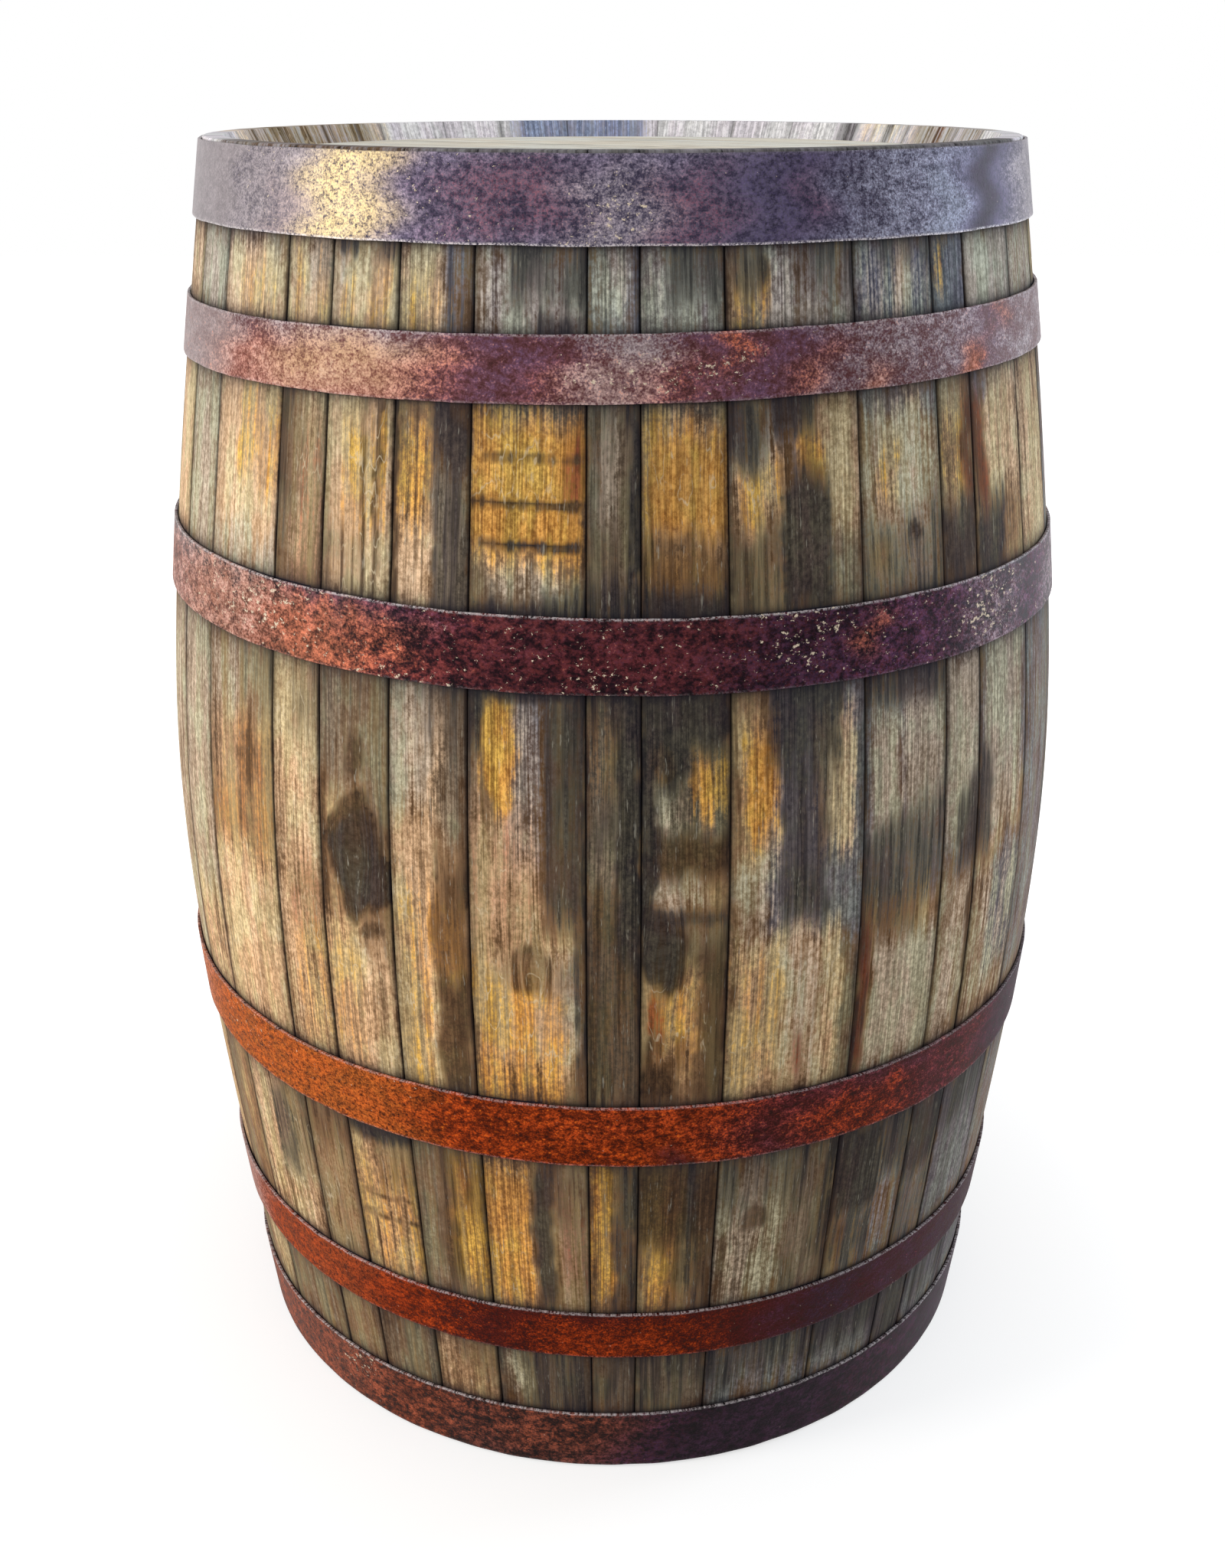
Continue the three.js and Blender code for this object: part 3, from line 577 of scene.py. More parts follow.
class BarrelColours(bpy.types.PropertyGroup):
    """Colours that the wood and the steel may be given."""
    oak_shade: colour_property("Oak shade", "Darkest bands of clean oak", (106, 84, 58))
    oak_middle: colour_property("Oak", "Middle colour of clean oak", (170, 142, 106))
    oak_light: colour_property("Oak light", "Lightest bands of clean oak", (218, 192, 150))
    # The dark stain's colour also paints the shade at the hoops and beside the seams.
    dark: colour_property("Dark stain", "Blue-black iron stain", (30, 29, 40))
    dark_streak: colour_property("Dark streak", "Lighter lines in the dark stain", (88, 82, 74))
    amber: colour_property("Amber stain", "Deep golden stain", (176, 116, 48))
    amber_streak: colour_property("Amber streak", "Bright golden lines", (240, 194, 98))
    grey: colour_property("Grey stain", "Grey-green weathering", (86, 82, 72))
    grey_streak: colour_property("Grey streak", "Lighter weathered lines", (154, 146, 124))
    pale: colour_property("Pale stain", "Straw", (198, 166, 120))
    pale_streak: colour_property("Pale streak", "Bright straw lines", (236, 217, 184))
    red: colour_property("Red stain", "Red-brown stain", (104, 46, 34))
    red_streak: colour_property("Red streak", "Lighter lines in the red stain", (160, 92, 60))
    brown: colour_property("Brown stain", "Brown-black stain", (56, 44, 34))
    brown_streak: colour_property("Brown streak", "Lighter brown lines", (104, 84, 60))
    blue: colour_property("Blue stain", "Slate grey", (82, 87, 102))
    blue_streak: colour_property("Blue streak", "Lighter slate lines", (158, 162, 166))
    cream: colour_property("Cream stain", "Bleached wood", (158, 148, 122))
    cream_streak: colour_property("Cream streak", "Brightest bleached lines", (214, 208, 190))
    # The colour of the stave ends is partly bleached end grain and partly painted light on the
    # chime.
    bleached_and_lit_ends: colour_property("Stave ends", "Bleached stave ends", (240, 234, 232))
    head_light: colour_property("Head light", "Light bands of the heads", (250, 246, 236))
    head_shade: colour_property("Head shade", "Dark bands of the heads", (208, 198, 182))
    bung_light: colour_property("Bung light", "Light rings of the bung", (190, 146, 96))
    bung_shade: colour_property("Bung shade", "Dark rings of the bung", (110, 74, 44))
    rust_red: colour_property("Red rust", "Red rust", (104, 40, 42))
    rust_dark: colour_property("Dark scale", "Dark scale", (36, 22, 34))
    # Dust also paints part of the white surroundings reflected at the top hoop's ends.
    rust_dust_and_reflection: colour_property("Dust", "Grey dust on the steel", (174, 164, 162))
    # The colour of the light hoop edges: partly steel worn bright, partly a painted highlight along
    # the rounded edges.
    worn_edge_and_highlight: colour_property("Worn edge", "Steel worn bright at a hoop's edges", (206, 198, 200))
    # Clean steel also paints the cool highlight on the top hoop's right side.
    clean_steel_and_highlight: colour_property("Clean steel", "Grey steel", (128, 132, 146))
    fleck: colour_property("Flecks", "Pale flecks", (224, 206, 182))


class BarrelFinish(bpy.types.PropertyGroup):
    """Strengths of the weathering, the painted shade and the light."""
    comb_depth: share_property("Comb", "How strongly the fine grain darkens the oak", 0.27)
    # The hoop shadow is painted shadow at the hoops; the wider darkening below each hoop and beside
    # the seams is partly dirt and partly painted shade.
    hoop_shadow: share_property("Hoop shadow", "How dark the wood is at the hoops", 0.85)
    hoop_grime_and_shade: share_property("Hoop grime", "How dark the wood is far below a hoop", 0.36)
    seam_grime_and_shade: share_property("Seam grime", "How dark the wood is beside the seams", 0.9)
    sky_light: share_property("Sky light", "Strength of the even light", 0.6)


# Arrays and meshes

def smooth_step(share):
    """0 below 0, 1 above 1, and 3s^2 - 2s^3 between."""
    share = np.clip(share, 0, 1)
    return share * share * (3 - 2 * share)


def ripple(random, place, wavelengths, count=5):
    """A slow wave from -1 to 1: the mean of sines with random phases and wavelengths."""
    total = np.zeros_like(place)
    for _ in range(count):
        wavelength = random.uniform(*wavelengths)
        total += np.sin(FULL_TURN * (place / wavelength + random.uniform()))
    return total / count * 1.5


def barrel_radius(height):
    """The cask's radius: a hyperbola that falls from the bilge to each end."""
    reach = np.abs(2 * np.asarray(height) / BARREL_HEIGHT - 1)
    rise = np.sqrt(1 + (BEND_SHARE * reach) ** 2) - 1
    return BILGE_RADIUS - (BILGE_RADIUS - END_RADIUS) * rise / (math.sqrt(1 + BEND_SHARE ** 2) - 1)


def on_barrel(radius, azimuth, height):
    """Points from cylinder coordinates, with azimuth 0 at -Y and a quarter turn at +X."""
    radius, azimuth, height = np.broadcast_arrays(radius, azimuth, height)
    return np.stack([radius * np.sin(azimuth), -radius * np.cos(azimuth), height], -1)


def tube_faces(rows, columns):
    """Quads that join each closed row of points to the next row."""
    index = grid_indices(rows, columns)
    side = np.roll(index, -1, axis=1)
    return np.stack([index[:-1], side[:-1], side[1:], index[1:]], -1).reshape(-1, 4)


def ladder_faces(row):
    """Quads that close a row which runs out and then back the same way."""
    half = len(row) // 2
    back = row[::-1]
    return np.stack([row[:half - 1], back[:half - 1], back[1:half], row[1:half]], -1)


def signed_volume(points, quads, caps):
    """The volume inside, negative where the faces point inwards."""
    def part(a, b, c):
        return np.einsum("ij,ij->i", points[a], np.cross(points[b], points[c])).sum() / 6
    total = 0.0
    if len(quads):
        total += part(quads[:, 0], quads[:, 1], quads[:, 2])
        total += part(quads[:, 0], quads[:, 2], quads[:, 3])
    for cap in caps:
        cap = np.asarray(cap)
        total += part(np.full(len(cap) - 2, cap[0]), cap[1:-1], cap[2:])
    return total


def grid_indices(rows, columns):
    """The numbers of a grid's points, counted along each row."""
    return np.arange(rows * columns).reshape(rows, columns)


def beside(first, second):
    """Rows of one array, each followed by the same row of another."""
    return np.concatenate([first, second], axis=1)


def out_and_back(out, back):
    """Rows that run out along one array and come back along the other."""
    return beside(out, back[:, ::-1])


def sheet_faces(rows, columns):
    """Quads between closed rows that each run out and back, with the first and last row shut."""
    index = grid_indices(rows, columns)
    return np.concatenate([
        tube_faces(rows, columns), ladder_faces(index[0])[:, ::-1], ladder_faces(index[-1])])


def spun(profile, sides):
    """The X and Y of a profile's points, spun round Z."""
    angle = np.linspace(0, FULL_TURN, sides, endpoint=False)
    return np.outer(profile[:, 0], np.cos(angle)), np.outer(profile[:, 0], np.sin(angle))


def keep_most(amounts, kinds, kind, amount):
    """Raises one kind's channel to an amount wherever it lies below it."""
    channel = kinds.index(kind)
    amounts[channel] = np.maximum(amounts[channel], amount)


def make_piece(name, points, quads, caps=(), vectors=None, colours=None, values=None):
    """A mesh object from points, quads and many-sided caps, with its point attributes."""
    points = np.ascontiguousarray(points.reshape(-1, 3), dtype=float)
    faces = [list(face) for face in quads.tolist()] + [list(map(int, cap)) for cap in caps]
    if signed_volume(points, quads, caps) < 0:
        faces = [face[::-1] for face in faces]
    mesh = bpy.data.meshes.new(name)
    mesh.from_pydata(points.tolist(), [], faces)
    for kind, slot, given in (
            ("FLOAT_VECTOR", "vector", vectors), ("FLOAT_COLOR", "color", colours),
            ("FLOAT", "value", values)):
        for label, data in (given or {}).items():
            attribute = mesh.attributes.new(label, kind, "POINT")
            attribute.data.foreach_set(slot, np.ascontiguousarray(data, np.float32).ravel())
    mesh.polygons.foreach_set("use_smooth", np.ones(len(mesh.polygons), bool))
    mesh.set_sharp_from_angle(angle=SHARP_ANGLE)
    mesh.validate()
    piece = bpy.data.objects.new(name, mesh)
    bpy.context.scene.collection.objects.link(piece)
    return piece


def dress(piece, material, nodes, body):
    """Gives a piece its material and its body, and hides the nodes that it stands for."""
    piece.data.materials.append(material)
    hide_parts(*nodes)
    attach(piece, body)


# Shader graphs

class Graph:
    """A short way to put nodes into one tree and join them."""

    def __init__(self, tree):
        self.tree = tree

    def node(self, kind, inputs=None, **settings):
        """Adds a node. Its settings come first, because a group's inputs come from its tree."""
        made = self.tree.nodes.new(kind)
        for name, value in settings.items():
            setattr(made, name, value)
        for key, value in (inputs or {}).items():
            if isinstance(value, bpy.types.NodeSocket):
                self.tree.links.new(value, made.inputs[key])
            else:
                made.inputs[key].default_value = value
        return made

    def use(self, tree, **inputs):
        """Places a shared group and returns its outputs."""
        return self.node("ShaderNodeGroup", inputs, node_tree=tree).outputs

    def math(self, operation, first, second=0.0, clamp=False):
        return self.node("ShaderNodeMath", {0: first, 1: second},
                         operation=operation, use_clamp=clamp).outputs[0]

    def plus(self, first, second, clamp=False):
        return self.math("ADD", first, second, clamp)

    def minus(self, first, second, clamp=False):
        return self.math("SUBTRACT", first, second, clamp)

    def times(self, first, second, clamp=False):
        return self.math("MULTIPLY", first, second, clamp)

    def highest(self, first, second):
        return self.math("MAXIMUM", first, second)

    def mean(self, *values):
        total = values[0]
        for value in values[1:]:
            total = self.plus(total, value)
        return self.math("DIVIDE", total, float(len(values)))

    def off_middle(self, value):
        """How far noise lies from its middle value, which it takes along thin wandering lines."""
        return self.math("ABSOLUTE", self.minus(value, 0.5))

    def span(self, value, low, high, to_low=0.0, to_high=1.0, kind="SMOOTHSTEP"):
        return self.node("ShaderNodeMapRange", {
            0: value, 1: low, 2: high, 3: to_low, 4: to_high}, interpolation_type=kind).outputs[0]

    def vector(self, operation, first, second=(0, 0, 0)):
        return self.node("ShaderNodeVectorMath", {0: first, 1: second},
                         operation=operation).outputs[0]

    def length(self, vector):
        made = self.node("ShaderNodeVectorMath", {0: vector}, operation="LENGTH")
        return made.outputs["Value"]

    def parts(self, vector):
        return self.node("ShaderNodeSeparateXYZ", {0: vector}).outputs

    def attribute(self, name):
        return self.node("ShaderNodeAttribute", attribute_name=name).outputs

    def noise(self, place, scales, detail=2.0, roughness=0.5, shift=(0, 0, 0)):
        """Noise with its own scale along each axis."""
        spot = self.vector("ADD", self.vector("MULTIPLY", place, scales), shift)
        return self.node("ShaderNodeTexNoise", {
            "Vector": spot, "Scale": 1.0, "Detail": detail, "Roughness": roughness}).outputs[0]

    def ramp(self, value, stops):
        made = self.node("ShaderNodeValToRGB", {0: value})
        elements = made.color_ramp.elements
        while len(elements) < len(stops):
            elements.new(0.5)
        for element, (position, colour) in zip(elements, stops):
            element.position = position
            element.color = rgba(colour)
        return made.outputs[0]

    def mix(self, share, low, high, blend="MIX"):
        return self.node("ShaderNodeMix", {0: share, 6: low, 7: high},
                         data_type="RGBA", blend_type=blend).outputs[2]

    def cover(self, colour, mask, over, most=1.0):
        """Lays a fixed colour over another by a mask, of which the given share counts."""
        return self.mix(self.times(mask, most), colour, rgba(over))

    def tint(self, colour, tint, share=1.0):
        return self.mix(share, colour, tint, "MULTIPLY")

    def shade(self, colour, level, share=1.0):
        """Multiplies a colour by a grey level, which may be over 1."""
        grey = self.node("ShaderNodeCombineColor", {0: level, 1: level, 2: level}).outputs[0]
        return self.tint(colour, grey, share)


def shared_group(name, inputs, outputs, fill):
    """The shader group of this name, made when it is first asked for. Place is a vector and all
    else is a value. fill(graph, inputs) returns what goes to the outputs, in their order."""
    if name in bpy.data.node_groups:
        return bpy.data.node_groups[name]
    tree = bpy.data.node_groups.new(name, "ShaderNodeTree")
    for side, labels in (("INPUT", inputs), ("OUTPUT", outputs)):
        for label in labels:
            kind = "NodeSocketVector" if label == "Place" else "NodeSocketFloat"
            tree.interface.new_socket(name=label, in_out=side, socket_type=kind)
    graph = Graph(tree)
    filled = fill(graph, graph.node("NodeGroupInput").outputs)
    graph.node("NodeGroupOutput", dict(zip(outputs, filled)))
    return tree


def noises(graph, name, place, table, sway=0.0):
    """The outputs of a shared group with the noises of a table. X lies across the grain or along
    the strip in metres, Y along the grain or across the strip, and Z tells pieces apart. Sway
    bends the place slowly along X."""
    def fill(graph, ins):
        place = ins["Place"]
        if sway:
            bend = graph.times(graph.minus(graph.noise(place, (9, 6, 1)), 0.5), sway)
            bend = graph.node("ShaderNodeCombineXYZ", {0: bend}).outputs[0]
            place = graph.vector("ADD", place, bend)
        return [graph.noise(place, *settings) for _, *settings in table]
    return graph.use(shared_group(name, ["Place"], [row[0] for row in table], fill), Place=place)


def long_grain(graph, place):
    """The noises that all wood shares, long along the grain and slowly bent across it."""
    return noises(graph, "long grain", place, GRAIN_NOISES, GRAIN_SWAY)


def painted(graph, attributes, kinds, noise, raggedness):
    """The amounts that two colour attributes carry, by kind, and the masks made of them. Ragged
    edges come from amount + (noise - 0.5) * raggedness * 4 * amount * (1 - amount), so that 0
    stays clean and 1 stays covered."""
    def fill(graph, ins):
        swing = graph.times(ins["Amount"], graph.minus(1.0, ins["Amount"]))
        swing = graph.times(swing, graph.times(ins["Raggedness"], 4.0))
        wave = graph.times(graph.minus(ins["Noise"], 0.5), swing)
        return [graph.plus(ins["Amount"], wave, clamp=True)]
    group = shared_group("ragged stain", ["Amount", "Noise", "Raggedness"], ["Mask"], fill)
    amounts = {}
    for name, part in zip(attributes, (kinds[:4], kinds[4:])):
        attribute = graph.attribute(name)
        split = graph.parts(attribute["Color"])
        amounts.update(zip(part, (split[0], split[1], split[2], attribute["Alpha"])))
    masks = {kind: graph.use(group, Amount=amount, Noise=noise, Raggedness=raggedness)["Mask"]
             for kind, amount in amounts.items()}
    return amounts, masks


def grime_and_shade(graph, distance, reach, noise, most):
    """A mask that darkens near an edge, partly as dirt and partly as painted shade, and fades with
    distance from it, unevenly: most * exp(-distance / reach).
    """
    def fill(graph, ins):
        uneven = graph.span(ins["Noise"], 0.2, 0.8, 0.25, 1.75, "LINEAR")
        share = graph.math("DIVIDE", ins["Distance"], graph.times(ins["Reach"], uneven))
        return [graph.math("EXPONENT", graph.times(share, -1.0))]
    group = shared_group("edge grime", ["Distance", "Reach", "Noise"], ["Mask"], fill)
    return graph.times(graph.use(group, Distance=distance, Reach=reach, Noise=noise)["Mask"], most)


def empty_graph(owner):
    """Clears the nodes of a material or a world and returns its graph."""
    owner.use_nodes = True
    owner.node_tree.nodes.clear()
    return Graph(owner.node_tree)


def finish_surface(graph, colour, roughness, height, depth, strength, specular=0.06, metallic=0.0):
    """Ends a material's graph with a Principled shader over a bump of a depth in metres."""
    bump = graph.node("ShaderNodeBump", {"Strength": strength, "Distance": depth, "Height": height})
    shader = graph.node("ShaderNodeBsdfPrincipled", {
        "Base Color": colour, "Metallic": metallic, "Roughness": roughness,
        "Specular IOR Level": specular, "Normal": bump.outputs[0]})
    graph.node("ShaderNodeOutputMaterial", {"Surface": shader.outputs[0]})


def oak_colour(graph, place, grain, masks, end, calm, colours):
    """Bands of clean oak, laid over with near white at the ends, partly as bleached end grain and
    partly as painted light on the chime, then each painted stain in two tones that follow the
    grain, and tints that change slowly with the grain's clouds and with height."""
    comb, streak, band, mottle, cloud = grain
    colour = graph.ramp(graph.mean(streak, band, cloud), [
        (0.41, colours.oak_shade), (0.5, colours.oak_middle), (0.6, colours.oak_light)])
    # Near white over the ends: partly bleached end grain, partly painted light where the lamps fall
    # on the chime.
    colour = graph.cover(colour, end, colours.bleached_and_lit_ends, 0.85)
    tones = graph.mean(comb, mottle, mottle, cloud, cloud)
    tones = graph.span(tones, 0.38, 0.62, 0.08, 0.92, "LINEAR")
    for kind in STAIN_LAYERS:
        low, high = getattr(colours, kind), getattr(colours, kind + "_streak")
        stain = graph.mix(tones, rgba(low), rgba(high))
        colour = graph.mix(graph.times(masks[kind], 0.94), colour, stain)
    colour = graph.tint(colour, (0.93, 1.0, 1.28, 1), graph.times(end, masks["blue"]))
    clouds = graph.span(graph.mean(cloud, band), 0.44, 0.56)
    clouds = graph.mix(clouds, (1.08, 0.97, 0.96, 1), (0.96, 1.0, 0.9, 1))
    colour = graph.tint(colour, clouds, calm)
    tall = graph.parts(place)[1]
    for low, high, below, above in HEIGHT_TINTS:
        tint = graph.mix(graph.span(tall, low, high), rgba(below), rgba(above))
        colour = graph.tint(colour, tint)
    return colour


def oak_lines(graph, colour, place, grain, masks, colours, finish):
    """The fine comb of the grain, streaks and spots, then pale scratches, and pale rays where
    the wood is pale."""
    comb, streak, _, mottle, cloud = grain
    worn = graph.mean(masks["grey"], masks["blue"], masks["amber"])
    worn = graph.times(worn, 2.0, clamp=True)
    lines = graph.span(comb, 0.4, 0.6,
                       graph.minus(1 - finish.comb_depth, graph.times(worn, 0.2)),
                       graph.plus(1.1, graph.times(worn, 0.1)))
    lines = graph.times(lines, graph.span(streak, 0.38, 0.5, 0.84, 1.03))
    lines = graph.times(lines, graph.span(mottle, 0.36, 0.62, 0.76, 1.17))
    colour = graph.shade(colour, lines)
    scratch = graph.noise(place, (520, 52, 1), 3, 0.7, (5, 5, 5))
    colour = graph.cover(colour, graph.span(scratch, 0.62, 0.7), colours.cream_streak, 0.3)
    ray = graph.off_middle(graph.noise(place, (110, 34, 1), 2, 0.5, (2, 7, 3)))
    ray = graph.times(graph.span(ray, 0.02, 0.002), graph.span(cloud, 0.46, 0.56, 0.0, 0.5))
    ray = graph.times(ray, graph.minus(masks["pale"], masks["dark"], clamp=True))
    return graph.cover(colour, ray, colours.pale_streak)


def oak_material(colours, finish):
    """Weathered stave oak: clean oak, each painted stain with ragged edges that follow the grain,
    then the grain's own lines, and darkening beside hoops and seams that is partly dirt and partly
    painted shade."""
    material = bpy.data.materials.new("weathered_oak")
    graph = empty_graph(material)
    place = graph.attribute("grain_place")["Vector"]
    grain = long_grain(graph, place)
    comb, streak, _, mottle, cloud = grain
    end = graph.attribute("end_amount")["Fac"]
    calm = graph.minus(1.0, graph.times(end, 0.6))
    ragged = graph.span(graph.mean(streak, streak, comb, mottle, cloud), 0.42, 0.58, kind="LINEAR")
    _, masks = painted(graph, ("stain_first", "stain_second"), STAIN_KINDS, ragged, 1.5)
    colour = oak_colour(graph, place, grain, masks, end, calm, colours)
    colour = oak_lines(graph, colour, place, grain, masks, colours, finish)
    seam, under, over = graph.parts(graph.attribute("near_place")["Vector"])
    # Painted shadow just under each hoop, and below it a wider band, partly dirt and partly painted
    # shade.
    for reach, most in ((0.032, finish.hoop_grime_and_shade), (0.005, finish.hoop_shadow)):
        colour = graph.cover(colour, grime_and_shade(graph, under, reach, streak, most), colours.dark)
    # A thin band over each hoop, partly dirt and partly painted shade, left off the ends.
    above = grime_and_shade(graph, over, 0.006, streak, finish.hoop_shadow)
    colour = graph.cover(colour, graph.times(above, graph.minus(1.0, end)), colours.dark)
    # Along the seams a wide faint band and a narrow strong line, partly dirt and partly painted
    # shade.
    for reach, share in ((0.006, 0.4), (0.0016, 1.0)):
        along = grime_and_shade(graph, seam, reach, streak, finish.seam_grime_and_shade * share)
        colour = graph.cover(colour, graph.times(along, calm), np.array(colours.dark) * 0.4)
    finish_surface(graph, colour, graph.span(mottle, 0.3, 0.7, 0.62, 0.85),
                   graph.mean(comb, streak, mottle), depth=0.0009, strength=0.6)
    return material


def plain_wood_material(name, light, shade, rim_radius=None):
    """Clean wood: light and dark bands along the grain with fine dark lines. Each board has its own
    tone, and the wood darkens towards the rim where a radius about the barrel's axis is given."""
    material = bpy.data.materials.new(name)
    graph = empty_graph(material)
    place = graph.attribute("grain_place")["Vector"]
    seam = graph.parts(graph.attribute("near_place")["Vector"])[0]
    comb, streak, band, mottle, cloud = long_grain(graph, place)
    dark = np.array(shade)
    colour = graph.ramp(graph.mean(streak, streak, band, cloud), [(0.4, shade), (0.52, light)])
    lines = graph.times(graph.span(comb, 0.4, 0.6, 0.8, 1.06),
                        graph.span(streak, 0.36, 0.5, 0.74, 1.03))
    colour = graph.shade(colour, lines, 0.8)
    crack = graph.off_middle(graph.noise(place, (52, 1.7, 1), 2, 0.5, (4, 4, 4)))
    crack = graph.times(graph.span(crack, 0.013, 0.002), graph.span(cloud, 0.42, 0.56, 0.1, 0.75))
    colour = graph.cover(colour, crack, dark * (0.5, 0.4, 0.32))
    patch = graph.span(graph.noise(place, (9, 5, 1), 4, 0.6), 0.4, 0.6)
    colour = graph.tint(colour, graph.mix(patch, (1.0, 0.96, 0.88, 1), (0.97, 1.0, 1.0, 1)))
    board = graph.node("ShaderNodeTexWhiteNoise", {"W": graph.parts(place)[2]},
                       noise_dimensions="1D").outputs["Value"]
    colour = graph.shade(colour, graph.span(board, 0, 1, 0.88, 1.04, "LINEAR"))
    if rim_radius:
        spot = graph.parts(graph.node("ShaderNodeTexCoord").outputs["Object"])
        flat = graph.node("ShaderNodeCombineXYZ", {0: spot[0], 1: spot[1]}).outputs[0]
        away = graph.minus(rim_radius, graph.length(flat))
        colour = graph.cover(colour, grime_and_shade(graph, away, 0.009, cloud, 0.55), dark * 0.3)
    colour = graph.cover(colour, grime_and_shade(graph, seam, 0.0012, mottle, 0.85), dark * 0.2)
    finish_surface(graph, colour, graph.span(mottle, 0.3, 0.7, 0.6, 0.8), streak,
                   depth=0.0005, strength=0.5, specular=0.3)
    return material


def rust_material(name, colours, main, second, speck, orange, highlight_on_worn_steel, purple, crust_depth,
                  speck_share, metallic, roughness, foot_wear_and_highlight, top_wear_and_highlight):
    """Rusted strip: two rust colours in clouds, painted patches with ragged edges, among them
    painted highlights, specks where fine noise peaks, pale flecks, and edges made light, partly as
    worn steel and partly as painted highlight. Dust evens out the crust's shading."""
    material = bpy.data.materials.new(name)
    graph = empty_graph(material)
    place = graph.attribute("strip_place")["Vector"]
    grit, cloud, crust, fleck = noises(graph, "corrosion", place, CORROSION_NOISES)
    colour = graph.mix(graph.span(graph.mean(cloud, crust, crust), 0.4, 0.6),
                       rgba(linear(*main)), rgba(linear(*second)))
    ragged = graph.span(graph.mean(cloud, crust, grit, grit), 0.38, 0.62, kind="LINEAR")
    amounts, masks = painted(graph, ("rust_first", "rust_second"), RUST_KINDS, ragged, 1.7)
    for kind, over, most in (
            ("purple", linear(*purple), 0.8), ("red", colours.rust_red, 0.75),
            ("orange", linear(*orange), 0.8), ("clean", colours.clean_steel_and_highlight, 0.75),
            ("dust", colours.rust_dust_and_reflection, 0.6), ("dark", colours.rust_dark, 0.85)):
        colour = graph.cover(colour, masks[kind], over, most)
    level = 1.0
    for noise, depth in ((crust, crust_depth), (grit, 0.38), (cloud, 0.6 * crust_depth)):
        level = graph.times(graph.span(noise, 0.36, 0.64, 1 - depth, 1 + depth), level)
    dust = graph.times(amounts["dust"], 0.75)
    level = graph.node("ShaderNodeMix", {0: dust, 2: level, 3: 1.0}).outputs[0]
    colour = graph.shade(colour, level)
    peaks = graph.mean(grit, crust)
    specks = graph.span(peaks, 0.62 - 0.14 * speck_share, 0.72 - 0.14 * speck_share)
    quiet = graph.minus(1.0, amounts["purple"])
    specks = graph.times(specks, graph.times(quiet, min(1.0, 0.4 + speck_share)))
    colour = graph.cover(colour, specks, linear(*speck))
    # Bright patches: painted highlights over partly worn steel.
    bright = graph.times(amounts["bright"], graph.span(peaks, 0.38, 0.6))
    colour = graph.cover(colour, bright, linear(*highlight_on_worn_steel), 0.9)
    limit = graph.minus(0.7, graph.times(amounts["fleck"], 0.13))
    flecks = graph.times(graph.minus(fleck, limit), 26.0, clamp=True)
    colour = graph.cover(colour, flecks, colours.fleck)
    # The edges are lighter within 2 mm, partly as worn steel and partly as a painted highlight.
    rims = graph.parts(graph.attribute("rim_place")["Vector"])
    foot, head = (graph.times(graph.span(rim, 0.002, 0.0005), worn)
                  for rim, worn in ((rims[0], foot_wear_and_highlight), (rims[1], top_wear_and_highlight)))
    edge_wear_and_highlight = graph.times(graph.highest(foot, head), graph.span(grit, 0.4, 0.6))
    colour = graph.cover(colour, edge_wear_and_highlight, colours.worn_edge_and_highlight)
    scale = graph.highest(specks, graph.highest(masks["orange"], flecks))
    metal = graph.times(graph.minus(1.0, scale), metallic) if metallic else 0.0
    rough = graph.plus(graph.times(graph.minus(crust, 0.5), 0.5), roughness)
    rough = graph.plus(rough, graph.times(masks["orange"], 0.15), clamp=True)
    height = graph.plus(crust, graph.times(grit, 0.35))
    finish_surface(graph, colour, rough, height, depth=0.0007, strength=0.6, metallic=metal)
    return material


# Staves

def stave_node(stave):
    """The name of a stave's node."""
    return "bung_stave" if stave == BUNG_STAVE else f"stave_{stave:02d}"


def stave_seams():
    """The azimuth of each seam, so placed that the bung stave is centred on the bung."""
    widths = np.array(STAVE_SHARES) / sum(STAVE_SHARES) * FULL_TURN
    start = BUNG_AZIMUTH - widths[BUNG_STAVE - 1] / 2 - widths[:BUNG_STAVE - 1].sum()
    return start + np.concatenate([[0], np.cumsum(widths)])


def stave_heights(pitch):
    """Row heights: close together at the ends and round the croze grooves, even between."""
    groove = [CROZE_SETBACK - CROZE_WIDTH / 2, CROZE_SETBACK + CROZE_WIDTH / 2]
    step = 0.02 * MM
    near = [*(row * MM for row in STAVE_END_ROWS), CHIME_BEVEL_HEIGHT,
            *(edge + side for edge in groove for side in (-step, step))]
    start = near[-1] + pitch
    count = int((BARREL_HEIGHT - 2 * start) / pitch)
    even = np.linspace(start, BARREL_HEIGHT - start, count)
    return np.concatenate([near, even, BARREL_HEIGHT - np.array(near[::-1])])


def inner_radius(height):
    """A stave's inner face: the wall, thinned by the chime bevel and cut by the croze groove."""
    depth = np.minimum(height, BARREL_HEIGHT - height)
    wall = barrel_radius(height) - STAVE_THICKNESS
    share = np.clip(depth / CHIME_BEVEL_HEIGHT, 0, 1)
    foot = barrel_radius(CHIME_BEVEL_HEIGHT) - STAVE_THICKNESS
    bevel = (END_RADIUS - CHIME_THICKNESS) * (1 - share) + foot * share
    radius = np.where(depth < CHIME_BEVEL_HEIGHT, bevel, wall)
    in_groove = np.abs(depth - CROZE_SETBACK) < CROZE_WIDTH / 2
    return radius + CROZE_DEPTH * in_groove


def rounding(distance, radius):
    """How far a quarter-round edge falls away at a distance from the edge."""
    inside = np.clip(radius - distance, 0, radius)
    return radius - np.sqrt(radius * radius - inside * inside)


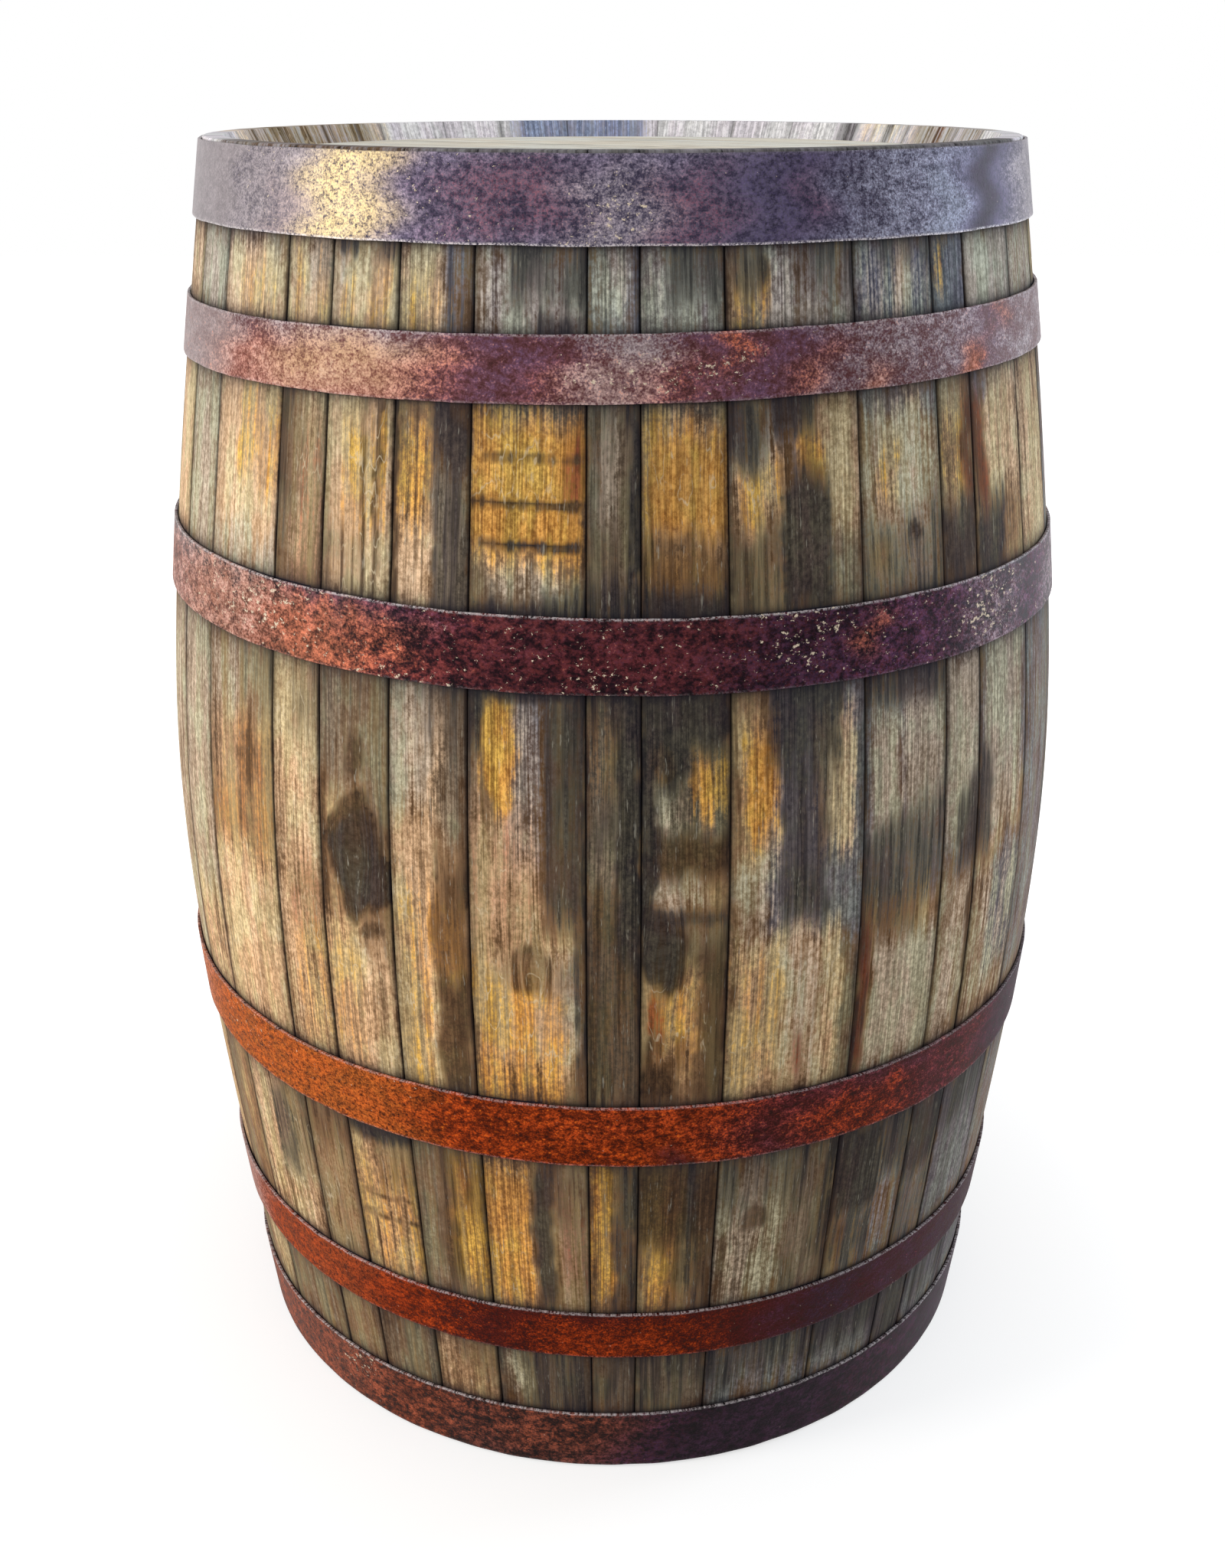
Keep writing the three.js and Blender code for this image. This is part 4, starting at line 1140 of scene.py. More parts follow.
def hoop_edges(index, azimuth):
    """The lower and upper edge heights of a hoop at an azimuth, the skew tilting both."""
    name, skew = HOOPS[index]
    low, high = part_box(name)
    tilt = skew * np.sin(azimuth)
    return low.z + abs(skew) - tilt, high.z - abs(skew) - tilt


def hoop_distances(azimuth, height):
    """How far below the hoop above and above the hoop below each point lies."""
    under = np.full(height.shape, 1.0)
    over = np.full(height.shape, 1.0)
    for index in range(len(HOOPS)):
        low, high = hoop_edges(index, azimuth)
        under = np.where(height < high, np.minimum(under, np.maximum(low - height, 0)), under)
        over = np.where(height > low, np.minimum(over, np.maximum(height - high, 0)), over)
    return under, over


def patch_amount(across, height, width, wander, left, right, low, high, strength, shape="block"):
    """How much of one stain lies at each point: a block with long soft ends and crisper sides,
    an oval that fades from its middle outwards, or a knot, which is pointed above and below and
    has a crisp edge. All edges wander up and down."""
    low, high = low * MM, high * MM
    height = height + wander * min(STAIN_WANDER, 0.25 * (high - low))
    wide = np.abs(across - (left + right) / 2) / ((right - left) / 2)
    tall = np.abs(height - (low + high) / 2) / ((high - low) / 2)
    if shape == "knot":
        return strength * smooth_step((1.1 - (wide ** 1.3 + tall ** 1.3) ** (1 / 1.3)) / 0.22)
    if shape == "oval":
        return strength * smooth_step((1.25 - np.hypot(wide, tall)) / 0.6)
    side = np.minimum(STAIN_SIDE / width, (right - left) * 0.8)
    soft = min(STAIN_END, 0.75 * (high - low))
    return (strength * smooth_step((across - left) / side + 0.5)
            * smooth_step((right - across) / side + 0.5)
            * smooth_step((height - low) / soft + 0.5) * smooth_step((high - height) / soft + 0.5))


def on_far_side(stave):
    """Whether a stave shows only from behind."""
    return LAST_SEEN_STAVE < stave < len(STAVE_SHARES)


def random_stains(random):
    """Kinds and rows of stains for a stave of the far side. Between each two hoops lies one even
    tone over the whole width, and a few patches that mostly start at a hoop or at a seam."""
    rows = []
    for low, high in STAIN_BANDS:
        kind = random.choice(FAR_TONES)
        rows.append((kind, (0, 1, low, high, random.uniform(0.2, 0.6))))
        for _ in range(random.integers(2, 5)):
            kind = random.choice(STAIN_KINDS, p=STAIN_ODDS)
            left = random.choice((0, 0, random.uniform(0.1, 0.8)))
            right = random.choice((1, left + random.uniform(0.15, 0.5)))
            reach = random.uniform(0.2, 0.9) * (high - low) + 20
            bottom = random.choice((low - 20, high - reach + 20, high - reach + 20))
            strength = random.uniform(0.35, 0.9) * (0.6 if kind == "amber" else 1)
            rows.append((kind, (left, right, bottom, bottom + reach, strength)))
    return rows


def paint_stains(stave, across, height, width, random):
    """The eight stain amounts at each outer point, the strongest patch of a kind winning. The
    patches are drawn in a slowly warped grid, so that their edges wander."""
    reach = across * width
    across = across + (2.5 * MM * ripple(random, height, (0.03, 0.12))
                       + 1.2 * MM * ripple(random, height, (0.01, 0.03))) / width
    wander = ripple(random, reach, (0.02, 0.09))
    amounts = np.zeros((len(STAIN_KINDS), *height.shape))
    rows = [(kind, row) for kind, found in STAINS.get(stave, {}).items() for row in found]
    if on_far_side(stave):
        rows += random_stains(random)
    for kind, row in rows:
        keep_most(amounts, STAIN_KINDS, kind, patch_amount(across, height, width, wander, *row))
    return np.minimum(1.2 * amounts, 1)


def end_stains(azimuth):
    """The eight stain amounts of the upper stave ends, by azimuth alone."""
    amounts = np.zeros((len(STAIN_KINDS), *azimuth.shape))
    for kind, low, high, strength in END_STAINS:
        middle, soft = (low + high) / 2, min(3.0, (high - low) / 2)
        away = np.abs((np.degrees(azimuth) - middle + 180) % 360 - 180)
        amount = strength * smooth_step(((high - low) / 2 - away) / soft + 0.5)
        keep_most(amounts, STAIN_KINDS, kind, amount)
    return amounts


def bent_grain(stave, offset, height, width):
    """The distance across a stave, spread out round its knots so that the grain bends."""
    bent = offset.copy()
    for at, share, level, size in KNOTS:
        if at == stave:
            away = offset - (share - 0.5) * width
            tall = (height - level * MM) / 2.4
            bent -= 0.75 * away * np.exp(-(away ** 2 + tall ** 2) / (size * MM) ** 2)
    return bent


def stave_piece(stave, start, end, sizes):
    """One stave as closed rows, each out along the outer arc and back along the inner one.
    Outer radius = cask radius - slow hollows - rounded arrises; the sides are radial."""
    random = np.random.default_rng(STAVE_SEED + stave)
    coarse = on_far_side(stave) and stave != BUNG_STAVE
    heights = stave_heights(sizes.coarse_row_pitch if coarse else sizes.row_pitch)[:, None]
    radius = barrel_radius(heights)
    middle, half = (start + end) / 2, (end - start) / 2
    width = 2 * half * radius - sizes.seam_gap
    edge = np.array(STAVE_EDGE_COLUMNS) * MM
    count = max(4, int(width.max() / sizes.column_pitch))
    share = np.linspace(0, 1, count)[None, 1:-1]
    between = edge[-1] + (width - 2 * edge[-1]) * share
    across = np.concatenate([np.broadcast_to(edge, (len(heights), len(edge))), between,
                             width - edge[::-1]], axis=1)
    distance = np.minimum(across, width - across)
    offset = across - width / 2
    azimuth = middle + offset / radius
    arris = [sizes.arris_radius * (random.uniform(0.6, 1.5)
             + 0.35 * ripple(random, heights, (0.03, 0.2))) for _ in range(2)]
    arris = np.where(across < width / 2, *arris)
    hollow = 0.5 + 0.25 * ripple(random, heights, (0.12, 0.5))
    hollow = hollow + 0.25 * ripple(random, offset, (0.02, 0.08))
    end_distance = np.minimum(heights, BARREL_HEIGHT - heights)
    outer = (radius - sizes.unevenness * np.clip(hollow, 0, 1) - rounding(distance, arris)
             - rounding(end_distance, sizes.end_arris_radius))

    wall = inner_radius(heights)
    inner_half = half - sizes.seam_gap / 2 / wall
    back = inner_half * np.linspace(1, -1, across.shape[1])[None, :]
    inner_azimuth = middle + back
    inner_distance = np.minimum(back + inner_half, inner_half - back) * wall

    tall = np.broadcast_to(heights, across.shape)
    points = beside(on_barrel(outer, azimuth, tall), on_barrel(wall, inner_azimuth, tall))
    rows, columns = points.shape[:2]
    grain = np.stack([beside(bent_grain(stave, offset, tall, width), back * wall),
                      beside(tall, tall), np.full((rows, columns), stave * GRAIN_STEP)], -1)
    under, over = hoop_distances(azimuth, tall)
    if stave == BUNG_STAVE:
        hole = np.hypot(radius * (azimuth - BUNG_AZIMUTH), tall - BUNG_HEIGHT) - BUNG_HOLE_RADIUS
        distance = np.minimum(distance, np.maximum(hole, 0))
    far = np.ones_like(under)
    near = np.stack([
        beside(distance, inner_distance), beside(under, far), beside(over, far)], -1)
    outer_stains = paint_stains(stave, across / width, tall, width, random)
    outer_stains = np.maximum(outer_stains, end_stains(azimuth) * (tall > BARREL_HEIGHT - 2 * MM))
    inner_stains = end_stains(inner_azimuth) * (tall > BARREL_HEIGHT / 2)
    stains = np.moveaxis(np.concatenate([outer_stains, inner_stains], 2), 0, -1)
    is_end = beside(np.broadcast_to(end_distance < 2 * MM, across.shape),
                    np.broadcast_to(end_distance < CHIME_BEVEL_HEIGHT + MM, across.shape))
    return make_piece(
        "barrel_" + stave_node(stave), points, sheet_faces(rows, columns),
        vectors={"grain_place": grain, "near_place": near},
        colours={"stain_first": stains[..., :4], "stain_second": stains[..., 4:]},
        values={"end_amount": is_end.astype(float)})


def lathe(name, profile, sides, turn, shift, **attributes):
    """A profile of (radius, height) points spun round Z, turned and shifted, capped flat."""
    across, along = spun(profile, sides)
    points = np.stack([across, along, np.broadcast_to(profile[:, 1:], across.shape)], -1)
    points = points @ turn.T + np.asarray(shift, float)
    index = grid_indices(len(profile), sides)
    return make_piece(name, points, tube_faces(len(profile), sides),
                      [index[0][::-1], index[-1]], **attributes)


def facing(direction):
    """A rotation that takes +Z to a direction."""
    normal = np.asarray(direction, float) / np.linalg.norm(direction)
    side = np.cross((0, 0, 1), normal) if abs(normal[2]) < 0.99 else np.array([1.0, 0, 0])
    side /= np.linalg.norm(side)
    return np.stack([side, np.cross(normal, side), normal], -1)


def bung_radius(distance):
    """The hole's radius at a distance from the barrel's axis: it narrows evenly inwards."""
    return BUNG_HOLE_RADIUS - (BILGE_RADIUS - distance) * BUNG_TAPER


def bore_bung_hole(stave):
    """Cuts the tapered bung hole out of its stave. The cutter has rings every 2 mm, so that the
    wall of the hole has vertices with its own stains between those of the stave's two faces."""
    heights = np.arange(BILGE_RADIUS - 2 * STAVE_THICKNESS, BILGE_RADIUS + 0.01, 2 * MM)
    profile = np.stack([bung_radius(heights), heights], -1)

    def all_over(*values):
        return np.tile(values, (len(profile) * HOLE_SIDES, 1))

    cutter = lathe("bung_hole_cutter", profile, HOLE_SIDES, facing((0, 1, 0)), (0, 0, BUNG_HEIGHT),
                   vectors={"grain_place": all_over(0.01, 0.4, 3.0),
                            "near_place": all_over(0.008, 1.0, 1.0)},
                   colours={"stain_first": all_over(*HOLE_STAINS[0]),
                            "stain_second": all_over(*HOLE_STAINS[1])},
                   values={"end_amount": all_over(0.0)})
    cut = stave.modifiers.new("bung hole", "BOOLEAN")
    cut.operation, cut.solver, cut.object = "DIFFERENCE", "EXACT", cutter
    graph = bpy.context.evaluated_depsgraph_get()
    bored = bpy.data.meshes.new_from_object(stave.evaluated_get(graph))
    stave.modifiers.clear()
    old = stave.data
    stave.data = bored
    bored.name = old.name + "_bored"
    bpy.data.meshes.remove(old)
    bpy.data.objects.remove(cutter)


# Hoops and rivets

def lap_start(index):
    """Where a hoop's hidden end lies, and the angle that its lap covers. Laps lie on either side
    of the bung by turns."""
    _, high = hoop_edges(index, 0.0)
    angle = LAP_LENGTH / float(barrel_radius(high))
    side = 1 if index % 2 == 0 else -1
    return BUNG_AZIMUTH + side * LAP_STAGGER - angle / 2, angle


def strip_loop(width, thickness):
    """A strip's section as (distance across, depth outwards) points: up the outer face with
    rounded corners, and down the inner face."""
    turn = np.linspace(0, math.pi / 2, 4)
    foot = np.stack([STRIP_CORNER * (1 - np.sin(turn)),
                     thickness - STRIP_CORNER * (1 - np.cos(turn))], -1)[::-1]
    head = foot[::-1] * (-1, 1) + (width, 0)
    face = np.linspace(0.08, 0.92, 9) * width
    outer = np.stack([face, np.full(9, thickness)], -1)
    back = np.linspace(0.99, 0.01, 5) * width
    return np.concatenate([foot, outer, head, np.stack([back, np.zeros(5)], -1)])


def rust_amounts(index, azimuth, share):
    """The painted amounts of the eight kinds of rust on one hoop, the strongest patch of a kind
    winning. Each patch is even inside and fades smoothly at its ends, and at its long sides
    where they don't lie on the hoop's edges. The patches of the far side are random."""
    amounts = np.zeros((len(RUST_KINDS), *azimuth.shape))
    random = np.random.default_rng(RUST_SEED + index)
    degrees = (np.degrees(azimuth) + 180) % 360 - 180 + 3 * ripple(random, share, (0.4, 1.4))
    share = share + 0.14 * ripple(random, azimuth, (0.05, 0.3))
    rows = [(kind, row) for kind, found in RUST_PATCHES[index + 1].items() for row in found]
    for kind, (left, right, low, high, strength) in rows:
        soft = min(RUST_END, 0.8 * (right - left))
        amount = (strength * smooth_step((degrees - left) / soft + 0.5)
                  * smooth_step((right - degrees) / soft + 0.5)
                  * (smooth_step((share - low) / 0.5 + 0.5) if low > 0 else 1)
                  * (smooth_step((high - share) / 0.5 + 0.5) if high < 1 else 1))
        keep_most(amounts, RUST_KINDS, kind, amount)
    random = np.random.default_rng(FAR_RUST_SEED + index)
    for _ in range(FAR_RUST_COUNT):
        middle, reach = random.uniform(*FAR_RUST_SPAN), random.uniform(2, 16)
        kind = random.choice(FAR_RUST_KINDS)
        away = np.abs(degrees % 360 - middle)
        level = smooth_step(1.3 - np.abs(share - random.uniform()) * 1.5)
        amount = random.uniform(0.2, 0.8) * smooth_step((reach - away) / 7 + 0.5) * level
        keep_most(amounts, RUST_KINDS, kind, amount)
    return amounts


def hoop_piece(index, sizes):
    """One hoop: a rounded strip section carried once round the cask and on over its own end,
    lifted by its thickness before the lap. Its radius follows the cask at its two edges."""
    name, _ = HOOPS[index]
    random = np.random.default_rng(HOOP_SEED + index)
    start, lap = lap_start(index)
    stations = np.linspace(start, start + FULL_TURN + lap, HOOP_STATIONS)[:, None]
    low, high = hoop_edges(index, stations)
    width = float(high[0, 0] - low[0, 0])
    loop = strip_loop(width, sizes.hoop_thickness)
    across, depth = loop[None, :, 0], loop[None, :, 1]
    share = across / width
    flat = (FULL_TURN - lap) / RING_FLATS
    lift_start = start + FULL_TURN - 2 * flat
    lift = (sizes.hoop_thickness + sizes.seam_gap) * smooth_step((stations - lift_start) / flat)
    foot, top = (barrel_radius(edge) + sizes.hoop_clearance for edge in (low, high))
    waver = sizes.hoop_wobble * (
        share * ripple(random, stations, (0.06, 0.5), 7)
        + (1 - share) * ripple(random, stations, (0.06, 0.5), 7))
    dent = sizes.hoop_wobble * np.clip(ripple(random, stations, (0.15, 1.0), 5), -0.3, 1)
    radius = foot + (top - foot) * share + lift + depth + dent
    height = low + across + waver
    azimuth = np.broadcast_to(stations, radius.shape)
    points = on_barrel(radius, azimuth, height)
    rows, columns = points.shape[:2]
    grid = grid_indices(rows, columns)
    across = np.broadcast_to(across, radius.shape)
    place = np.stack([azimuth * BILGE_RADIUS, across,
                      np.full(radius.shape, STRIP_STEP * index + 1)], -1)
    rim = np.stack([across, width - across, np.zeros(radius.shape)], -1)
    amounts = np.moveaxis(rust_amounts(index, azimuth, across / width), 0, -1)
    return make_piece(
        "barrel_" + name, points, tube_faces(rows, columns), [grid[0][::-1], grid[-1]],
        vectors={"strip_place": place, "rim_place": rim},
        colours={"rust_first": amounts[..., :4], "rust_second": amounts[..., 4:]})


def rivet_piece(index, number, sizes):
    """A domed rivet on the lap: half an ellipse spun round the strip's own normal."""
    name, _ = HOOPS[index]
    start, lap = lap_start(index)
    flat = lap / LAP_FLATS / 2
    azimuth = start + (flat if number == 1 else lap - flat)
    low, high = (float(edge) for edge in hoop_edges(index, azimuth))
    foot, top = (float(barrel_radius(edge)) + sizes.hoop_clearance for edge in (low, high))
    slope = math.atan2(foot - top, high - low)
    stack = 2 * sizes.hoop_thickness + sizes.seam_gap
    normal = on_barrel(math.cos(slope), azimuth, math.sin(slope))
    seat = on_barrel((foot + top) / 2, azimuth, (low + high) / 2) + normal * (stack - RIVET_SINK)
    angle = np.linspace(0, 0.96 * math.pi / 2, 9)
    dome = np.stack([sizes.rivet_radius * np.cos(angle),
                     RIVET_RIM + sizes.rivet_height * np.sin(angle) ** 0.9], -1)
    foot_ring = [(sizes.rivet_radius * 0.6, 0), (sizes.rivet_radius * 0.97, 0)]
    profile = np.concatenate([foot_ring, dome])
    across, along = spun(profile, RIVET_SIDES)
    spot = np.stack([across, along, np.full(across.shape, RIVET_STEP * index + number)], -1)
    return lathe(f"barrel_{name}_rivet_{number}", profile, RIVET_SIDES, facing(normal), seat,
                 vectors={"strip_place": spot, "rim_place": np.full((across.size, 3), 0.01)},
                 colours={"rust_first": np.tile(RIVET_RUST, (across.size, 1)),
                          "rust_second": np.zeros((across.size, 4))})


# Heads and bung

def head_wall():
    """The radius of the staves' inner face where a head stands."""
    return float(barrel_radius(CROZE_SETBACK)) - STAVE_THICKNESS


def head_heights(distance, board_edge):
    """Heights of the head's face and back over the middle of its groove, at a distance from the
    axis: each flat, then bevelled to the thin rim. The face rounds off at the board's edges."""
    shoulder = head_wall() - HEAD_RIM_CLEARANCE
    rim_half = CROZE_WIDTH / 2 - 0.3 * MM
    face = CROZE_SETBACK - HEAD_FACE_DEPTH
    top = np.interp(distance, [shoulder - HEAD_BEVEL_WIDTH, shoulder], [face, rim_half])
    back = np.interp(distance, [shoulder - HEAD_INNER_BEVEL_WIDTH, shoulder],
                     [face - HEAD_THICKNESS, -rim_half])
    return top - rounding(board_edge, BOARD_ARRIS), back


def board_piece(name, low, high, angle, base, up, pattern):
    """One head board: rows along the board, each over its face and back under it, between the
    two chords of the round head."""
    shoulder = head_wall() - HEAD_RIM_CLEARANCE
    rim = shoulder + CROZE_DEPTH
    low, high = max(low, -rim + 0.5 * MM), min(high, rim - 0.5 * MM)
    near = np.array(BOARD_EDGE_ROWS) * MM
    even = np.linspace(low + BOARD_EDGE_REACH, high - BOARD_EDGE_REACH, BOARD_ROWS)
    cross = np.concatenate([low + near, even, high - near[::-1]])[:, None]
    # Columns lie close together at the rim's shoulder and at the inner edge of the bevel
    rings = [rim, shoulder + 0.2 * MM, shoulder - 0.3 * MM, shoulder - 0.5 * HEAD_BEVEL_WIDTH,
             shoulder - HEAD_BEVEL_WIDTH + 0.4 * MM, shoulder - HEAD_BEVEL_WIDTH - 0.4 * MM]
    order = np.arange(len(rings))
    half = np.sqrt(np.maximum(np.array(rings) ** 2 - cross ** 2, 0))
    # These columns would meet where a chord lies outside a ring
    half = half + (len(rings) - order) * 0.01 * MM
    inner = half[:, -1:] * np.linspace(-1, 1, BOARD_COLUMNS)[None, 1:-1]
    along = np.concatenate([-half, inner, half[:, ::-1]], axis=1)
    edge = np.minimum(cross - cross[0], cross[-1] - cross) * np.ones_like(along)
    top, bottom = head_heights(np.hypot(along, cross), edge)
    flat, level = out_and_back(along, along), out_and_back(top, bottom)
    side = np.broadcast_to(cross, flat.shape)
    turned_x = flat * math.cos(angle) - side * math.sin(angle)
    turned_y = flat * math.sin(angle) + side * math.cos(angle)
    points = np.stack([turned_x, turned_y * up, base + up * level], -1)
    place = np.stack([side, flat, np.full(flat.shape, pattern)], -1)
    edges = out_and_back(edge, edge)
    return make_piece(name, points, sheet_faces(*flat.shape), vectors={
        "grain_place": place, "near_place": np.stack([edges, edges, edges], -1)})


def bung_piece():
    """The bung: a tapered plug with small bevels, spun round the axis of its hole. Its face is
    dished by a parabola, with two turned grooves that are bell curves of the radius."""
    inner = BILGE_RADIUS - STAVE_THICKNESS - BUNG_INSIDE
    outer = BILGE_RADIUS + BUNG_PROUD
    turn = np.linspace(0, math.pi / 2, 6)
    side = np.linspace(inner + BUNG_BEVEL, outer - BUNG_BEVEL, 8)
    rim = bung_radius(outer) - BUNG_CLEARANCE
    body = np.stack([bung_radius(side) - BUNG_CLEARANCE, side], -1)
    head = np.stack([rim - BUNG_BEVEL * (1 - np.cos(turn)),
                     outer - BUNG_BEVEL * (1 - np.sin(turn))], -1)
    flat = rim - BUNG_BEVEL
    spread = np.linspace(flat, 1 * MM, 60)[1:]
    dish = BUNG_DISH * (1 - (spread / flat) ** 2)
    for groove in BUNG_GROOVES:
        dish += BUNG_GROOVE_DEPTH * np.exp(-((spread - groove * rim) / BUNG_GROOVE_WIDTH) ** 2)
    crown = np.stack([spread, outer - dish], -1)
    base = [(2 * MM, inner), (bung_radius(inner) - BUNG_CLEARANCE - BUNG_BEVEL, inner)]
    profile = np.concatenate([base, body, head, crown])
    across, along = spun(profile, BUNG_SIDES)
    place = np.stack([across + profile[:, 1:] * 0.2, along * 0.6 + profile[:, 1:],
                      np.full(across.shape, 5.0)], -1)
    rim_distance = np.hypot(profile[:, 0] - rim, profile[:, 1] - outer)
    groove_distance = np.min([np.abs(profile[:, 0] - groove * rim) for groove in BUNG_GROOVES], 0)
    on_face = profile[:, 1] > outer - 3 * MM
    distance = np.where(on_face, np.minimum(rim_distance, groove_distance + 0.6 * MM), 0.01)
    near = np.broadcast_to(distance[:, None, None], (*across.shape, 3))
    return lathe("barrel_bung", profile, BUNG_SIDES, facing((0, 1, 0)), (0, 0, BUNG_HEIGHT),
                 vectors={"grain_place": place, "near_place": near})


# Operators

class BARREL_OT_make_staves(bpy.types.Operator):
    """Make the thirty-one bent staves"""
    bl_idname = "barrel.make_staves"
    bl_label = "Make Staves"

    def execute(self, context):
        scene = context.scene
        material = oak_material(scene.barrel_colours, scene.barrel_finish)
        seams = stave_seams()
        for stave in range(1, len(STAVE_SHARES) + 1):
            piece = stave_piece(stave, seams[stave - 1], seams[stave], scene.barrel_sizes)
            if stave == BUNG_STAVE:
                bore_bung_hole(piece)
            dress(piece, material, [stave_node(stave)], "barrel")
        return {"FINISHED"}


def hoop_material(scene, index):
    """The rust of a hoop, which its rivets share."""
    name, *finish = HOOP_FINISHES[index]
    made = bpy.data.materials.get("rusted_" + name)
    return made or rust_material("rusted_" + name, scene.barrel_colours, *finish)


class BARREL_OT_make_hoops(bpy.types.Operator):
    """Make the six hoops"""
    bl_idname = "barrel.make_hoops"
    bl_label = "Make Hoops"

    def execute(self, context):
        scene = context.scene
        for index, (name, _) in enumerate(HOOPS):
            piece = hoop_piece(index, scene.barrel_sizes)
            dress(piece, hoop_material(scene, index), [name], "barrel")
        return {"FINISHED"}


class BARREL_OT_make_rivets(bpy.types.Operator):
    """Make the two rivets of each hoop's lap"""
    bl_idname = "barrel.make_rivets"
    bl_label = "Make Rivets"

    def execute(self, context):
        scene = context.scene
        for index, (name, _) in enumerate(HOOPS):
            material = hoop_material(scene, index)
            for number in (1, 2):
                piece = rivet_piece(index, number, scene.barrel_sizes)
                dress(piece, material, [f"{name}_rivet_{number}"], "barrel")
        return {"FINISHED"}


class BARREL_OT_make_heads(bpy.types.Operator):
    """Make the boards of the upper and lower head"""
    bl_idname = "barrel.make_heads"
    bl_label = "Make Heads"

    def execute(self, context):
        scene = context.scene
        colours, sizes = scene.barrel_colours, scene.barrel_sizes
        material = plain_wood_material(
            "head_oak", colours.head_light, colours.head_shade, head_wall())
        shares = np.concatenate([[0], np.cumsum(HEAD_SHARES)]) / sum(HEAD_SHARES)
        seams = (head_wall() + CROZE_DEPTH) * (2 * shares - 1)
        for head, angle, base, up in (
                ("top_head", TOP_BOARD_ANGLE, BARREL_HEIGHT - CROZE_SETBACK, 1),
                ("bottom_head", BOTTOM_BOARD_ANGLE, CROZE_SETBACK, -1)):
            for number in range(1, len(HEAD_SHARES) + 1):
                low = seams[number - 1] + sizes.seam_gap / 2
                high = seams[number] - sizes.seam_gap / 2
                node = f"{head}_board_{number}"
                piece = board_piece("barrel_" + node, low, high, angle, base, up,
                                    BOARD_STEP * number + 5 * up)
                dress(piece, material, [node], "barrel")
        return {"FINISHED"}


class BARREL_OT_make_bung(bpy.types.Operator):
    """Make the bung that closes the hole in the side"""
    bl_idname = "barrel.make_bung"
    bl_label = "Make Bung"

    def execute(self, context):
        colours = context.scene.barrel_colours
        material = plain_wood_material("bung_wood", colours.bung_light, colours.bung_shade)
        dress(bung_piece(), material, ["bung"], "bung")
        return {"FINISHED"}


def add_light(name, azimuth, height, distance, width, tall, power, colour):
    """An area lamp that faces the barrel's middle from an azimuth in degrees."""
    lamp = bpy.data.lights.new(name, "AREA")
    lamp.shape, lamp.size, lamp.size_y = "RECTANGLE", width, tall
    lamp.energy, lamp.color = power, colour
    made = bpy.data.objects.new(name, lamp)
    place = on_barrel(distance, math.radians(azimuth), height)
    made.location = place
    aim = np.array([0, 0, BARREL_HEIGHT / 2]) - place
    made.rotation_euler = Vector(aim).to_track_quat("-Z", "Y").to_euler()
    bpy.context.scene.collection.objects.link(made)


def seen_directly(graph):
    """1 for camera, glossy and transmission rays, and 0 for the rays that only light things."""
    path = graph.node("ShaderNodeLightPath").outputs
    seen = graph.highest(path["Is Camera Ray"], path["Is Glossy Ray"])
    return graph.highest(seen, path["Is Transmission Ray"])


def studio_world(sky_light):
    """An even white sky, seen at full strength and lighting things at its own."""
    world = bpy.data.worlds.new("studio")
    graph = empty_graph(world)
    lit = graph.node("ShaderNodeBackground", {0: WHITE, 1: sky_light})
    white = graph.node("ShaderNodeBackground", {0: WHITE, 1: 1.0})
    mixed = graph.node("ShaderNodeMixShader", {
        0: seen_directly(graph), 1: lit.outputs[0], 2: white.outputs[0]})
    graph.node("ShaderNodeOutputWorld", {0: mixed.outputs[0]})
    return world


def floor_material():
    """A matte floor that glows where it is seen, more with distance from the barrel, so that it
    runs out into the white of the sky."""
    material = bpy.data.materials.new("studio_floor")
    graph = empty_graph(material)
    matte = graph.node("ShaderNodeBsdfDiffuse", {0: (0.55, 0.55, 0.55, 1)})
    away = graph.length(graph.node("ShaderNodeTexCoord").outputs["Object"])
    glow = graph.times(seen_directly(graph), graph.span(away, 0.3, 1.0, 0.62, 0.95))
    glow = graph.node("ShaderNodeEmission", {0: WHITE, 1: glow})
    both = graph.node("ShaderNodeAddShader", {0: matte.outputs[0], 1: glow.outputs[0]})
    graph.node("ShaderNodeOutputMaterial", {0: both.outputs[0]})
    return material


def make_floor():
    """A flat square grid of floor, a little below the barrel."""
    steps = np.linspace(-FLOOR_REACH, FLOOR_REACH, FLOOR_CELLS + 1)
    across, along = np.meshgrid(steps, steps)
    points = np.stack([across, along, np.full(across.shape, -FLOOR_DROP)], -1)
    index = grid_indices(*across.shape)
    quads = np.stack([index[:-1, :-1], index[:-1, 1:], index[1:, 1:], index[1:, :-1]], -1)
    return make_piece("studio_floor", points, quads.reshape(-1, 4))


